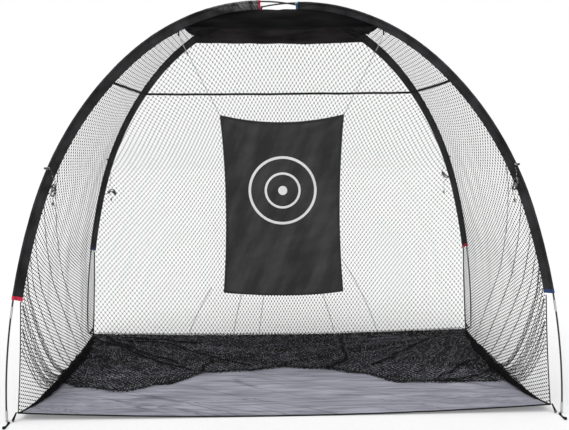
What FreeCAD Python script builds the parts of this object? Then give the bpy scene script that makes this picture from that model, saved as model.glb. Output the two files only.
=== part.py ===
import FreeCAD, Part
import math
import os

from FreeCAD import Vector

# Golf chipping net: two long poles bow over a rectangle and cross at the crown.
# Fabric sleeves on the poles carry a canopy, three net walls and a belt tape.
# X runs left to right, Y from the open mouth to the rear wall, Z up from the ground.
# Sizes are in millimetres and angles in degrees.

# Arched poles
width = 3050.0
depth = 1830.0
crown_height = 2387.0
crown_turn = 42.0
shoulder_turn = 71.5
foot_turn = 90.0
shoulder_radius = 1980.0
section_count = 11
pole_diameter = 9.5
pole_bore = 5.0
section_gap = 0.4
ferrule_diameter = 12.6
ferrule_length = 64.0
ferrule_clearance = 0.1
shock_cord_diameter = 3.0
tip_diameter = 13.6
tip_length = 62.0
tip_bore = 8.4
pole_crossing_gap = 0.2

# Fabric sleeves round the poles
sleeve_width = 50.0
pocket_bore = 13.8
pocket_cloth = 0.8
web_thickness = 1.6
sleeve_foot_height = 675.0
sleeve_crown_reach = 135.0
trim_length = 22.0
trim_thickness = 0.8
fabric_clearance = 0.4
knee_step = 2.0

# Canopy, net walls and belt tape
canopy_reach = 675.0
canopy_cloth = 1.2
net_twine = 1.2
net_corner = 2.4
net_bar = 16.0
net_columns = 12
net_rows_low = 7
net_rows_high = 2
side_bow = 40.0
rear_bow = 110.0
belt_height = 1850.0
belt_width = 15.0
belt_thickness = 1.5
front_cord_diameter = 6.0
rear_tape_diameter = 9.0

# Floor sheet, its hem and the netting that lies on it
foot_gap = 52.5
front_lift = 42.0
lift_run = 620.0
hem_width = 14.0
hem_thickness = 3.0
floor_cloth = 1.2
floor_net_thickness = 5.0
floor_net_front = [-230, -400, -475, -360, -140, -115, -55, -90, -200, -390, -395, -405, -370]

# Feet: a steel ring with an upright pin, the strap to the floor corner and a stake loop
ring_wire = 4.0
ring_radius = 16.0
pin_diameter = 7.0
pin_height = 28.0
webbing = 1.4
strap_width = 16.0
wire_clearance = 0.5
strap_tail = 35.0
stake_width = 12.0
stake_loop_length = 86.0
stake_sewn_start = 14.0
stake_sewn_end = 42.0
stake_tip = 9.0
stake_eye_height = 15.0

# Guy lines, wound up and hung from tabs at mid height
tab_height = 1372.0
tab_radius = 6.0
tab_hole = 3.0
tab_width = 12.0
guy_diameter = 2.5
hank_length = 75.0
hank_width = 25.0
hank_thickness = 11.0
hank_eye = 9.0
slider_length = 22.0
slider_width = 9.0
slider_thickness = 5.0
slider_hole = 3.2

# Target sheet on two cords
target_plane = -363.0
ring_spread = 607.0
ring_height = 2131.0
hanger_ring_radius = 10.0
hanger_ring_wire = 4.0
hanger_width = 8.0
hanger_clearance = 1.2
hanger_shift = 4.0
target_top_half = 374.0
target_bottom_half = 368.0
target_top = 1672.0
target_bottom = 590.0
target_top_sag = 46.0
target_bottom_drop = 24.0
target_side_hollow = 25.0
target_cloth = 1.6
binding_width = 14.0
binding_thickness = 3.0
elastic_diameter = 4.5
elastic_length = 85.0
toggle_diameter = 9.0
toggle_length = 14.0
target_cord_diameter = 2.6
cord_end_gap = 0.3

# Sizes that follow from the ones above
half_diagonal = math.hypot(width / 2, depth / 2)
pole_lift = (pole_diameter + pole_crossing_gap) / 2
pocket_radius = pocket_bore / 2 + pocket_cloth
inner_edge = sleeve_width - pocket_radius
floor_corner_reach = half_diagonal - foot_gap
fold_bore = ring_wire / 2 + ring_radius - math.sqrt(ring_radius**2 - (stake_width / 2) ** 2) + wire_clearance
bar_height = fold_bore + webbing + fabric_clearance
pole_base = bar_height + ring_wire / 2 + cord_end_gap
diagonal_angle = math.degrees(math.atan2(depth, width))
seam_height = hem_thickness + 2 * webbing + 2 * fabric_clearance
corner_x = floor_corner_reach * width / 2 / half_diagonal
corner_y = floor_corner_reach * depth / 2 / half_diagonal

# Each leg: the pole it belongs to, the side of that pole, and its direction from the centre
legs = {
    "front_left": ("red", -1, 180 + diagonal_angle),
    "rear_right": ("red", 1, diagonal_angle),
    "front_right": ("blue", 1, -diagonal_angle),
    "rear_left": ("blue", -1, 180 - diagonal_angle),
}
lift = {"red": pole_lift, "blue": -pole_lift}
pole_angle = {"red": diagonal_angle, "blue": -diagonal_angle}


def write(name, shape):
    shape.exportStep("parts/" + name + ".step")


def write_group(name, shapes):
    write(name, Part.makeCompound(shapes))


def sine(turn):
    return math.sin(math.radians(turn))


def cosine(turn):
    return math.cos(math.radians(turn))


def solve_radii():
    """Crown and leg radii that land the pole on its foot with the wanted turns."""
    a = sine(crown_turn)
    b = sine(foot_turn) - sine(shoulder_turn)
    c = 1 - cosine(crown_turn)
    d = cosine(shoulder_turn) - cosine(foot_turn)
    reach = half_diagonal - shoulder_radius * (sine(shoulder_turn) - sine(crown_turn))
    drop = crown_height - shoulder_radius * (cosine(crown_turn) - cosine(shoulder_turn))
    det = a * d - b * c
    return (reach * d - b * drop) / det, (a * drop - c * reach) / det


crown_radius, leg_radius = solve_radii()


def arch_arcs():
    """Each arc of one half pole: its radius, its centre and its range of turn."""
    centre_z = crown_height - crown_radius
    arcs = [(crown_radius, 0.0, centre_z, 0.0, crown_turn)]
    next_arcs = [(shoulder_radius, crown_turn, shoulder_turn), (leg_radius, shoulder_turn, foot_turn)]
    for radius, start, end in next_arcs:
        last_radius, last_s, last_z, _, _ = arcs[-1]
        change = last_radius - radius
        arcs.append((radius, last_s + change * sine(start), last_z + change * cosine(start), start, end))
    return arcs


arcs = arch_arcs()


def arc_for_turn(turn):
    for arc in arcs:
        if turn <= arc[4]:
            return arc
    return arcs[-1]


def arch_point(turn, inset=0.0):
    """A point of the arch in its own plane: x is the reach from the centre, z the height."""
    radius, centre_s, centre_z, _, _ = arc_for_turn(abs(turn))
    reach = centre_s + (radius - inset) * sine(abs(turn))
    return Vector(math.copysign(reach, turn), 0, centre_z + (radius - inset) * cosine(turn))


def turn_at_length(length):
    """The turn at a length along the pole from the crown, negative to the left."""
    left = abs(length)
    for radius, _, _, start, end in arcs:
        span = radius * math.radians(end - start)
        if left <= span or end == foot_turn:
            return math.copysign(start + math.degrees(left / radius), length)
        left -= span


def length_at_turn(turn):
    total = 0.0
    for radius, _, _, start, end in arcs:
        total += radius * math.radians(min(turn, end) - min(turn, start))
    return total


def turn_at_height(height, inset=0.0):
    for radius, _, centre_z, start, end in arcs:
        ratio = (height - centre_z) / (radius - inset)
        if -1 <= ratio <= 1:
            turn = math.degrees(math.acos(ratio))
            if start - 1e-6 <= turn <= end + 1e-6:
                return turn
    return foot_turn


def turn_at_reach(reach, inset=0.0):
    for radius, centre_s, _, start, end in arcs:
        ratio = (reach - centre_s) / (radius - inset)
        if -1 <= ratio <= 1:
            turn = math.degrees(math.asin(ratio))
            if start - 1e-6 <= turn <= end + 1e-6:
                return turn
    return foot_turn


def split_turns(start, end):
    """Cut a range of turn where the arch changes radius."""
    marks = [-shoulder_turn, -crown_turn, crown_turn, shoulder_turn]
    inside = [mark for mark in marks if start < mark < end]
    stops = [start] + inside + [end]
    return list(zip(stops[:-1], stops[1:]))


def disc(centre, normal, radius, bore=0.0):
    face = Part.Face(Part.Wire(Part.Circle(centre, normal, radius).toShape()))
    if bore > 0:
        face = face.cut(Part.Face(Part.Wire(Part.Circle(centre, normal, bore).toShape())))
        face = face.Faces[0]
    return face


def arch_tube(start, end, radius, bore=0.0):
    """A round tube that follows the arch between two turns."""
    pieces = []
    for first, last in split_turns(start, end):
        mirrored = last <= 0
        if mirrored:
            first, last = -last, -first
        _, centre_s, centre_z, _, _ = arc_for_turn(last)
        point = arch_point(last)
        tangent = Vector(cosine(last), 0, -sine(last))
        centre = Vector(centre_s, 0, centre_z)
        piece = disc(point, tangent, radius, bore).revolve(centre, Vector(0, -1, 0), last - first)
        if mirrored:
            piece = piece.mirror(Vector(0, 0, 0), Vector(1, 0, 0))
        pieces.append(piece)
    tube = pieces[0]
    for piece in pieces[1:]:
        tube = tube.fuse(piece)
    return tube


def turned(shape, angle, height=0.0):
    copy = shape.copy()
    copy.rotate(Vector(0, 0, 0), Vector(0, 0, 1), angle)
    copy.translate(Vector(0, 0, height))
    return copy


def pole_end_turn(colour, height):
    return turn_at_height(height - lift[colour])


def pole_sections(colour):
    """The tube sections of one pole, from its left foot to its right foot."""
    half = length_at_turn(pole_end_turn(colour, pole_base + pin_height + cord_end_gap))
    foot = length_at_turn(pole_end_turn(colour, pole_base))
    step = 2 * foot / section_count
    sections = []
    for index in range(section_count):
        first = max(-half, -foot + index * step + section_gap / 2)
        last = min(half, -foot + (index + 1) * step - section_gap / 2)
        tube = arch_tube(turn_at_length(first), turn_at_length(last), pole_diameter / 2, pole_bore / 2)
        sections.append(turned(tube, pole_angle[colour], lift[colour]))
    return sections


def pole_ferrules(colour):
    """Metal sockets over the joints between the sections."""
    foot = length_at_turn(pole_end_turn(colour, pole_base))
    step = 2 * foot / section_count
    bore = pole_diameter / 2 + ferrule_clearance
    ferrules = []
    for joint in range(1, section_count):
        middle = -foot + joint * step
        start = turn_at_length(middle - ferrule_length / 2)
        end = turn_at_length(middle + ferrule_length / 2)
        ferrules.append(turned(arch_tube(start, end, ferrule_diameter / 2, bore), pole_angle[colour], lift[colour]))
    return ferrules


def shock_cord(colour):
    """The elastic cord inside a pole, from one end of the tubes to the other."""
    end = pole_end_turn(colour, pole_base + pin_height + 4 * cord_end_gap)
    return turned(arch_tube(-end, end, shock_cord_diameter / 2), pole_angle[colour], lift[colour])


def pole_tip(name):
    """A metal end tube: its upper bore holds the pole and its mouth takes the pin."""
    colour, _, angle = legs[name]
    bottom = pole_end_turn(colour, pole_base)
    top = pole_end_turn(colour, pole_base + tip_length)
    shoulder = pole_end_turn(colour, pole_base + pin_height)
    outside = arch_tube(top, bottom, tip_diameter / 2)
    socket = arch_tube(top, shoulder, pole_diameter / 2 + ferrule_clearance)
    mouth = arch_tube(shoulder, bottom, tip_bore / 2)
    return turned(outside.cut(socket).cut(mouth), angle, lift[colour])


def arch_edges(start, end, inset, drop=0.0):
    """Edges along the arch between two turns of one side."""
    edges = []
    for first, last in split_turns(start, end):
        middle = (first + last) / 2
        points = []
        for turn in (first, middle, last):
            _, centre_s, centre_z, _, _ = arc_for_turn(last)
            radius = arc_for_turn(last)[0] - inset
            points.append(Vector(centre_s + radius * sine(turn), 0, centre_z + radius * cosine(turn) - drop))
        edges.append(Part.Arc(points[0], points[1], points[2]).toShape())
    return edges


def end_point(edges, first):
    edge = edges[0] if first else edges[-1]
    return edge.valueAt(edge.FirstParameter if first else edge.LastParameter)


def sleeve_piece(colour, start, end, grow=0.0):
    """Sleeve cloth between two turns: a round pocket on the pole and a flat web to the inner edge."""
    pocket = arch_tube(start, end, pocket_radius + grow, pocket_bore / 2)
    outer = arch_edges(start, end, pocket_radius - pocket_cloth / 2)
    inner = arch_edges(start, end, inner_edge, lift[colour])
    close_start = Part.makeLine(end_point(inner, True), end_point(outer, True))
    close_end = Part.makeLine(end_point(outer, False), end_point(inner, False))
    wire = Part.Wire(Part.__sortEdges__(outer + [close_end] + inner + [close_start]))
    half = web_thickness / 2 + grow
    face = Part.Face(wire)
    face.translate(Vector(0, -half, 0))
    web = face.extrude(Vector(0, 2 * half, 0))
    return pocket.fuse(web)


def sleeve_turns(colour):
    """The four turns of a sleeve: crown trim, cloth start, cloth end and foot trim."""
    crown = length_at_turn(turn_at_reach(sleeve_crown_reach))
    foot = length_at_turn(turn_at_height(sleeve_foot_height - lift[colour]))
    lengths = (crown, crown + trim_length, foot - trim_length, foot)
    return [turn_at_length(length) for length in lengths]


def sleeve(name):
    colour, _, angle = legs[name]
    _, start, end, _ = sleeve_turns(colour)
    return turned(sleeve_piece(colour, start, end), angle, lift[colour])


def sleeve_trims(colour):
    """Coloured binding on both ends of the two sleeves of one pole."""
    trims = []
    for leg_colour, _, angle in legs.values():
        if leg_colour != colour:
            continue
        crown, start, end, foot = sleeve_turns(colour)
        for first, last in ((crown, start), (end, foot)):
            trim = sleeve_piece(colour, first, last, trim_thickness)
            trims.append(turned(trim, angle, lift[colour]))
    return trims


knee = min(arch_point(sleeve_turns(colour)[3], inner_edge).z for colour in lift) - fabric_clearance


def wall_reach(height):
    """Reach along the diagonal of the line that the net edges follow at one height."""
    clear = inner_edge + fabric_clearance
    if height >= knee:
        return arch_point(turn_at_height(height, clear), clear).x
    top = arch_point(turn_at_height(knee, clear), clear).x
    foot = floor_corner_reach - rear_tape_diameter - 2 * fabric_clearance
    return foot + (top - foot) * height / knee


def half_x(height):
    return wall_reach(height) * width / 2 / half_diagonal


def half_y(height):
    return wall_reach(height) * depth / 2 / half_diagonal


def bow_at(height, full_bow):
    """How far a wall hangs in at mid span: nothing at the belt tape, most at the ground."""
    if height >= belt_height:
        return 0.0
    return full_bow * (1 - height / belt_height) ** 2


canopy_turn = turn_at_reach(canopy_reach, inner_edge)
canopy_edge_height = arch_point(canopy_turn, inner_edge + fabric_clearance + canopy_cloth).z


def floor_lift(x, y):
    """How far the floor is off the ground: only its front corners rise with the pull of the feet."""
    fade = max(0.0, 1 - (y + corner_y) / lift_run)
    return front_lift * (x / corner_x) ** 2 * fade**3


def smooth_edge(points):
    curve = Part.BSplineCurve()
    curve.interpolate(points)
    return curve.toShape()


def net_foot(share, rear):
    """Height of a wall's lower edge. The side walls rise with the floor's front corners."""
    return seam_height + (0 if rear else floor_lift(corner_x, -share * corner_y))


def net_levels():
    """Heights of the level bars between a wall's lower and upper edge, one of them behind the belt tape."""
    top = canopy_edge_height - fabric_clearance
    below = [belt_height * step / net_rows_low for step in range(net_rows_low + 1)]
    above = [belt_height + (top - belt_height) * step / net_rows_high for step in range(1, net_rows_high + 1)]
    return below + above


def net_openings(rear):
    """Prisms through a wall for a plain grid of openings, far coarser than the knotted mesh."""
    reach = half_x if rear else half_y
    columns = net_columns if rear else round(net_columns * depth / width)
    levels = net_levels()
    prisms = []
    for row in range(len(levels) - 1):
        under = net_bar if row == 0 else net_bar / 2
        over = net_bar if row == len(levels) - 2 else net_bar / 2
        for column in range(columns):
            corners = []
            for step, is_top in ((0, False), (1, False), (1, True), (0, True)):
                share = 2 * (column + step) / columns - 1
                foot = net_foot(share, rear) if row == 0 else levels[row]
                height = levels[row + 1] - over if is_top else foot + under
                beside = net_bar if abs(share) == 1 else net_bar / 2
                x = share * (reach(height) - net_corner) + (beside if step == 0 else -beside)
                corners.append(Vector(x, 0, height))
            prisms.append(Part.Face(Part.makePolygon(corners + corners[:1])).extrude(Vector(0, width, 0)))
    return prisms


def net_wall(side):
    """One wall of netting, drawn as a skin as thick as its twine with a grid of openings."""
    rear = side == "rear"
    top = canopy_edge_height - fabric_clearance
    grid = []
    for column in range(-6, 7):
        share = column / 6
        base = net_foot(share, rear)
        points = []
        for row in range(15):
            height = base + (top - base) * row / 14
            along, across = half_x(height), half_y(height)
            if not rear:
                along, across = across, along
            bow = bow_at(height, rear_bow if rear else side_bow)
            points.append(Vector(share * (along - net_corner), across - bow * (1 - share**2), height))
        grid.append(points)
    surface = Part.BSplineSurface()
    surface.interpolate(grid)
    skin = surface.toShape().cut(net_openings(rear))
    wall = skin.Faces[0].extrude(Vector(0, -net_twine, 0))
    if rear:
        return wall
    wall = turned(wall, -90)
    return wall if side == "right" else wall.mirror(Vector(0, 0, 0), Vector(1, 0, 0))


def belt_tape():
    """Webbing that runs round the three net walls, just inside them."""
    wires = []
    for height in (belt_height - belt_width / 2, belt_height + belt_width / 2):
        inset = net_twine + 2 * fabric_clearance
        x_out = half_x(height) - inset
        y_out = half_y(height) - inset
        x_in = x_out - belt_thickness
        y_in = y_out - belt_thickness
        front = -half_y(height) + inset
        outline = [(-x_out, front), (-x_out, y_out), (x_out, y_out), (x_out, front)]
        outline += [(x_in, front), (x_in, y_in), (-x_in, y_in), (-x_in, front)]
        points = [Vector(x, y, height) for x, y in outline]
        wires.append(Part.makePolygon(points + points[:1]))
    return Part.makeLoft(wires, True, True)


def canopy_gore(axis):
    """One roof panel between two neighbouring sleeves, its point at the crown."""
    across, along = (width / 2, depth / 2) if axis == "x" else (depth / 2, width / 2)
    scale = across / half_diagonal
    clear = inner_edge + fabric_clearance
    steps = 6
    outer = []
    inner = []
    for index in range(steps + 1):
        turn = canopy_turn * index / steps
        top = arch_point(turn, clear)
        under = arch_point(turn, clear + canopy_cloth)
        outer.append(Vector(top.x * scale, 0, top.z))
        inner.append(Vector(under.x * scale, 0, under.z))
    curve_out = Part.BSplineCurve()
    curve_out.interpolate(outer)
    curve_in = Part.BSplineCurve()
    curve_in.interpolate(inner[::-1])
    ends = [Part.makeLine(outer[-1], inner[-1]), Part.makeLine(inner[0], outer[0])]
    wire = Part.Wire([curve_out.toShape(), ends[0], curve_in.toShape(), ends[1]])
    half = along * canopy_reach / half_diagonal * 1.2
    face = Part.Face(wire)
    face.translate(Vector(0, -half, 0))
    band = face.extrude(Vector(0, 2 * half, 0))
    far = across * 1.2
    side = far * along / across
    seam = cord_end_gap
    wedge_points = [Vector(seam, 0, 0), Vector(far, -side, 0), Vector(far, side, 0), Vector(seam, 0, 0)]
    wedge = Part.Face(Part.makePolygon(wedge_points)).extrude(Vector(0, 0, crown_height))
    return band.common(wedge)


def canopy():
    """Roof cloth: four panels sewn together along the poles."""
    side_gore = canopy_gore("x")
    end_gore = canopy_gore("y")
    return [side_gore, turned(side_gore, 180), turned(end_gore, 90), turned(end_gore, -90)]


def edge_cord(name, diameter):
    """The bound net edge below a sleeve, from the sleeve to the floor corner."""
    _, _, angle = legs[name]
    outwards = diameter / 2 + 2 * fabric_clearance
    top_height = knee - knee_step
    share = (wall_reach(0) + outwards) / floor_corner_reach
    side = -1 if name.startswith("front") else 1
    base_height = seam_height + floor_lift(share * corner_x, side * share * corner_y)
    top = Vector(wall_reach(top_height) + outwards, 0, top_height)
    base = Vector(wall_reach(base_height) + outwards, 0, base_height)
    return turned(Part.makeCylinder(diameter / 2, (top - base).Length, base, top - base), angle)


def floor_half(y, inset):
    """Half breadth of the floor at one depth, with its hollow sides."""
    return corner_x - inset - side_bow * (1 - (y / (corner_y - inset)) ** 2)


def floor_rear(x, inset):
    """Depth of the floor's rear edge, which the loose rear wall pulls forward."""
    return corner_y - inset - rear_bow * (1 - (x / (corner_x - inset)) ** 2)


def on_floor(x, y, height):
    return Vector(x, y, height + floor_lift(x, y))


def hem_strip(outer, inner):
    """One run of hem tape between its outer and its inner edge."""
    face = Part.makeRuledSurface(smooth_edge(outer), smooth_edge(inner))
    return face.extrude(Vector(0, 0, hem_thickness))


def hem_tape():
    """Binding tape along the four edges of the floor, mitred at the corners."""
    shares = [step / 6 for step in range(-6, 7)]
    edges = {"front": [], "rear": [], "right": []}
    for inset in (0, hem_width):
        x = corner_x - inset
        y = corner_y - inset
        edges["front"].append([on_floor(share * x, -y, 0) for share in shares])
        edges["rear"].append([on_floor(share * x, floor_rear(share * x, inset), 0) for share in shares])
        edges["right"].append([on_floor(floor_half(share * y, inset), share * y, 0) for share in shares])
    strips = [hem_strip(outer, inner) for outer, inner in edges.values()]
    strips.append(strips[-1].mirror(Vector(0, 0, 0), Vector(1, 0, 0)))
    return strips


def floor_outline(front, inset):
    """Flat outline of the floor behind a straight front edge."""
    shares = [step / 8 for step in range(9)]
    rear = corner_y - inset
    right = [front + (rear - front) * share for share in shares]
    back = [(1 - 2 * share) * (corner_x - inset) for share in shares]
    corners = (Vector(-floor_half(front, inset), front, 0), Vector(floor_half(front, inset), front, 0))
    return Part.Wire([
        Part.makeLine(corners[0], corners[1]),
        smooth_edge([Vector(floor_half(y, inset), y, 0) for y in right]),
        smooth_edge([Vector(x, floor_rear(x, inset), 0) for x in back]),
        smooth_edge([Vector(-floor_half(y, inset), y, 0) for y in right[::-1]]),
    ])


def floor_sheet():
    """Ground cloth inside the hem tape: flat behind, raised towards its front corners."""
    inset = hem_width + 3 * cord_end_gap
    front = inset - corner_y
    seam = lift_run - corner_y
    grid = []
    for column in range(-5, 6):
        points = []
        for row in range(13):
            y = front + (seam - front) * row / 12
            points.append(on_floor(column / 5 * floor_half(y, inset), y, 0))
        grid.append(points)
    surface = Part.BSplineSurface()
    surface.interpolate(grid)
    rise = Vector(0, 0, floor_cloth)
    flat = Part.Face(floor_outline(seam, inset)).extrude(rise)
    return surface.toShape().extrude(rise).fuse(flat)


def floor_net():
    """Loose netting from the rear wall that lies forward over the floor and stops the balls."""
    inset = hem_width + fabric_clearance
    base = floor_cloth + 2 * fabric_clearance
    count = len(floor_net_front) - 1
    front = []
    for index, y in enumerate(floor_net_front):
        front.append(Vector((2 * index / count - 1) * floor_half(y, inset), y, base))
    shares = [step / 6 for step in range(7)]
    rear_y = corner_y - inset
    right = [front[-1].y + (rear_y - front[-1].y) * share for share in shares]
    left = [rear_y + (front[0].y - rear_y) * share for share in shares]
    back = [(1 - 2 * share) * (corner_x - inset) for share in shares]
    wire = Part.Wire([
        smooth_edge(front),
        smooth_edge([Vector(floor_half(y, inset), y, base) for y in right]),
        smooth_edge([Vector(x, floor_rear(x, inset), base) for x in back]),
        smooth_edge([Vector(-floor_half(y, inset), y, base) for y in left]),
    ])
    net = Part.Face(wire)
    for side in (-1, 1):
        net = net.cut(disc(Vector(side * corner_x, corner_y, base), Vector(0, 0, 1), strap_tail + webbing))
    return net.Faces[0].extrude(Vector(0, 0, floor_net_thickness))


def pin_ring(name):
    """Foot ring with an upright pin on its outer side for the pole tip."""
    _, _, angle = legs[name]
    wire = ring_wire / 2
    ring = Part.makeTorus(ring_radius, wire, Vector(-ring_radius, 0, 0))
    pin = Part.makeCylinder(pin_diameter / 2, wire + pin_height - 3 * cord_end_gap + 1, Vector(0, 0, -1))
    pin = pin.makeChamfer(1.0, [pin.Edges[0]])
    ring = ring.fuse(pin)
    ring.translate(Vector(half_diagonal, 0, bar_height))
    return turned(ring, angle)


def upright_plate(outline, holes, breadth):
    """Extrude an outline drawn in the leg's plane to both sides of it."""
    face = Part.Face(outline)
    for hole in holes:
        face = face.cut(Part.Face(hole))
    face = face.Faces[0]
    face.translate(Vector(0, -breadth / 2, 0))
    return face.extrude(Vector(0, breadth, 0))


def line(a, b):
    return Part.makeLine(Vector(a[0], 0, a[1]), Vector(b[0], 0, b[1]))


def bend(a, b, c):
    return Part.Arc(Vector(a[0], 0, a[1]), Vector(b[0], 0, b[1]), Vector(c[0], 0, c[1])).toShape()


def wire_slack(breadth):
    """How far the round ring curves away across the breadth of a strap."""
    return ring_radius - math.sqrt(ring_radius**2 - (breadth / 2) ** 2)


def strap_fold(root, breadth, middle, along, side, reach, slack):
    """Outline of a strap folded round the ring, from its root to the far side of the wire."""
    half = side * (reach + slack / 2 * abs(side.x))
    tip = middle + along * (reach + slack / 2 * abs(along.x))
    edges = [
        Part.makeLine(root + breadth, middle + half),
        Part.Arc(middle + half, tip, middle - half).toShape(),
        Part.makeLine(middle - half, root - breadth),
    ]
    if breadth.Length > 0:
        edges.append(Part.makeLine(root - breadth, root + breadth))
    return Part.Wire(edges)


def corner_strap(name):
    """Webbing sewn on the floor corner and folded round the inner side of the ring."""
    _, _, angle = legs[name]
    bar = half_diagonal - 2 * ring_radius
    inside = ring_wire / 2 + wire_clearance
    outside = inside + webbing
    slack = wire_slack(strap_width)
    lifted = front_lift if name.startswith("front") else 0.0
    sewn = hem_thickness + fabric_clearance + lifted
    corner = Vector(floor_corner_reach + webbing, 0, sewn + webbing)
    near = Vector(bar, 0, bar_height)
    along = (near - corner).normalize()
    side = Vector(-along.z, 0, along.x)
    middle = near + Vector(slack / 2, 0, 0)
    outline = strap_fold(corner, side * webbing, middle, along, side, outside, slack)
    eye_root = near - along * (near - corner).Length * 0.6
    eye = strap_fold(eye_root, Vector(0, 0, 0), middle, along, side, inside, slack)
    hanging = upright_plate(outline, [eye], strap_width)
    joint_start = corner - Vector(0, strap_width / 2, 0)
    joint = Part.makeCylinder(webbing, strap_width, joint_start, Vector(0, 1, 0))
    grid = []
    for inwards in (0, strap_tail / 2, strap_tail):
        row = []
        for across in (-strap_width / 2, 0, strap_width / 2):
            s = corner.x - inwards
            x = s * cosine(angle) - across * sine(angle)
            y = s * sine(angle) + across * cosine(angle)
            row.append(on_floor(x, y, hem_thickness + fabric_clearance))
        grid.append(row)
    surface = Part.BSplineSurface()
    surface.interpolate(grid)
    tail = surface.toShape().extrude(Vector(0, 0, 2 * webbing))
    return turned(hanging.fuse(joint), angle).fuse(tail)


def stake_loop(name):
    """Webbing folded round the ring, with an open eye for a stake, lying away from the bay."""
    _, _, angle = legs[name]
    outside = fold_bore + webbing
    low = -outside
    sewn = low + 2 * webbing
    top = low + stake_eye_height
    middle = (low + top) / 2
    tip = stake_loop_length
    turned_in = tip - stake_tip
    shoulder = (0.6 * outside, 0.8 * outside)
    outline = Part.Wire([
        bend(shoulder, (-outside, 0), (0, low)),
        line((0, low), (turned_in, low)),
        bend((turned_in, low), (tip, middle), (turned_in, top)),
        line((turned_in, top), (stake_sewn_end, sewn)),
        line((stake_sewn_end, sewn), (stake_sewn_start, sewn)),
        line((stake_sewn_start, sewn), shoulder),
    ])
    fold = Part.Wire(Part.Circle(Vector(0, 0, 0), Vector(0, 1, 0), fold_bore).toShape())
    eye_start = (stake_sewn_end + stake_eye_height / 2, low + webbing)
    eye_low = (turned_in, low + webbing)
    eye_top = (turned_in, top - webbing)
    eye = Part.Wire([
        line(eye_start, eye_low),
        bend(eye_low, (tip - webbing, middle), eye_top),
        line(eye_top, eye_start),
    ])
    loop = upright_plate(outline, [fold, eye], stake_width)
    away = 90 if name.startswith("rear") else -90
    loop.rotate(Vector(0, 0, 0), Vector(0, 0, 1), away)
    centre = half_diagonal - ring_radius
    y = centre * sine(angle) + math.copysign(ring_radius, away)
    loop.translate(Vector(centre * cosine(angle), y, bar_height))
    return loop


def tab_place(name):
    """Centre of a guy tab's hole in the leg's plane, and the outward direction there."""
    colour, _, _ = legs[name]
    turn = turn_at_height(tab_height - lift[colour])
    outward = Vector(sine(turn), 0, cosine(turn))
    point = arch_point(turn) + Vector(0, 0, lift[colour])
    return point + outward * (pocket_radius + tab_radius + webbing), outward


def guy_tab(name):
    """A small webbing loop on the outer edge of the sleeve."""
    colour, _, angle = legs[name]
    centre, outward = tab_place(name)
    across = Vector(-outward.z, 0, outward.x)
    loop = disc(centre - Vector(0, tab_width / 2, 0), Vector(0, 1, 0), tab_radius)
    loop = loop.extrude(Vector(0, tab_width, 0))
    root = centre - outward * (tab_radius + webbing + pocket_radius / 2)
    corners = [root + across * webbing, centre + across * webbing]
    corners += [centre - across * webbing, root - across * webbing]
    corners = [corner - Vector(0, tab_width / 2, 0) for corner in corners]
    neck = Part.Face(Part.makePolygon(corners + corners[:1])).extrude(Vector(0, tab_width, 0))
    hole = disc(centre - Vector(0, tab_width, 0), Vector(0, 1, 0), tab_hole / 2)
    turn = turn_at_height(tab_height - lift[colour])
    pocket = arch_tube(turn - 1, turn + 1, pocket_radius)
    pocket.translate(Vector(0, 0, lift[colour]))
    tab = loop.fuse(neck).cut(hole.extrude(Vector(0, 2 * tab_width, 0))).cut(pocket)
    return turned(tab, angle)


# Guy lines: the points from the tab to the hank, the middle and lean of the hank,
# where the tail leaves the hank (along it, across it) and its points down to the slider.
# Points are (outwards, sideways, up) from the middle of the tab's hole; sideways is away from the bay.
guys = {
    "front_left": (
        [(0, -8, 0), (0, 13, 0), (-4, 18, -12), (-18, 19, -44)],
        (-33, 19, -121),
        -8.0,
        (-1, 0),
        [(-28, 20, -171), (-29, 19, -182)],
    ),
    "front_right": (
        [(0, -8, 0), (0, 13, 0), (2, 18, -13), (1, 19, -42)],
        (-11, 19, -109),
        15.0,
        (-1, 0),
        [(-22, 20, -158), (-16, 20, -173), (-12, 19, -189)],
    ),
    "rear_left": (
        [(0, -2, 0), (0, 14, 0), (3, 26, -24), (12, 36, -70), (25, 47, -125), (38, 56, -185)],
        (19, 60, -264),
        60.0,
        (0.15, 0.97),
        [(32, 61, -285), (31, 60, -299)],
    ),
    "rear_right": (
        [(0, -2, 0), (0, 14, 0), (-4, 26, -22), (-14, 38, -60), (-24, 47, -98)],
        (1, 50, -147),
        -55.0,
        (0, 1),
        [(-7, 51, -190), (-5, 51, -226), (-6, 50, -262)],
    ),
}


def leg_points(name, points):
    """Points of a guy line in the leg's plane frame."""
    centre, _ = tab_place(name)
    side = 1 if name in ("front_left", "rear_right") else -1
    return [centre + Vector(s, side * n, z) for s, n, z in points]


def cord_tube(points, diameter, label):
    """A tube of straight runs joined by tangent arcs."""
    edges = []
    radii = []
    begin = points[0]
    for before, corner, after in zip(points[:-2], points[1:-1], points[2:]):
        into = corner - before
        out = after - corner
        turn = into.getAngle(out)
        reach = 0.45 * min(into.Length, out.Length)
        start = corner - Vector(into).normalize() * reach
        end = corner + Vector(out).normalize() * reach
        radius = reach / math.tan(turn / 2)
        radii.append(round(radius, 1))
        inward = (start + end) * 0.5 - corner
        sagitta = radius / math.cos(turn / 2) - radius
        middle = corner + inward.normalize() * sagitta
        edges.append(Part.LineSegment(begin, start).toShape())
        edges.append(Part.Arc(start, middle, end).toShape())
        begin = end
    edges.append(Part.LineSegment(begin, points[-1]).toShape())
    path = Part.Wire(edges)
    tube = path.makePipe(disc(points[0], points[1] - points[0], diameter / 2))
    ratio = tube.Volume / (path.Length * math.pi * diameter**2 / 4)
    print(label, "radii", radii, "length", round(path.Length, 1), "volume ratio", round(ratio, 4))
    return tube


def arrival_slant(name):
    """How far the line's last run turns away from the hank's own axis, as a sine."""
    drop, centre, lean, _, _ = guys[name]
    axis = Vector(sine(lean), 0, cosine(lean))
    run = Vector(*centre) + axis * (hank_length / 2) - Vector(*drop[-1])
    return run.cross(axis).Length / run.Length


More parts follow.
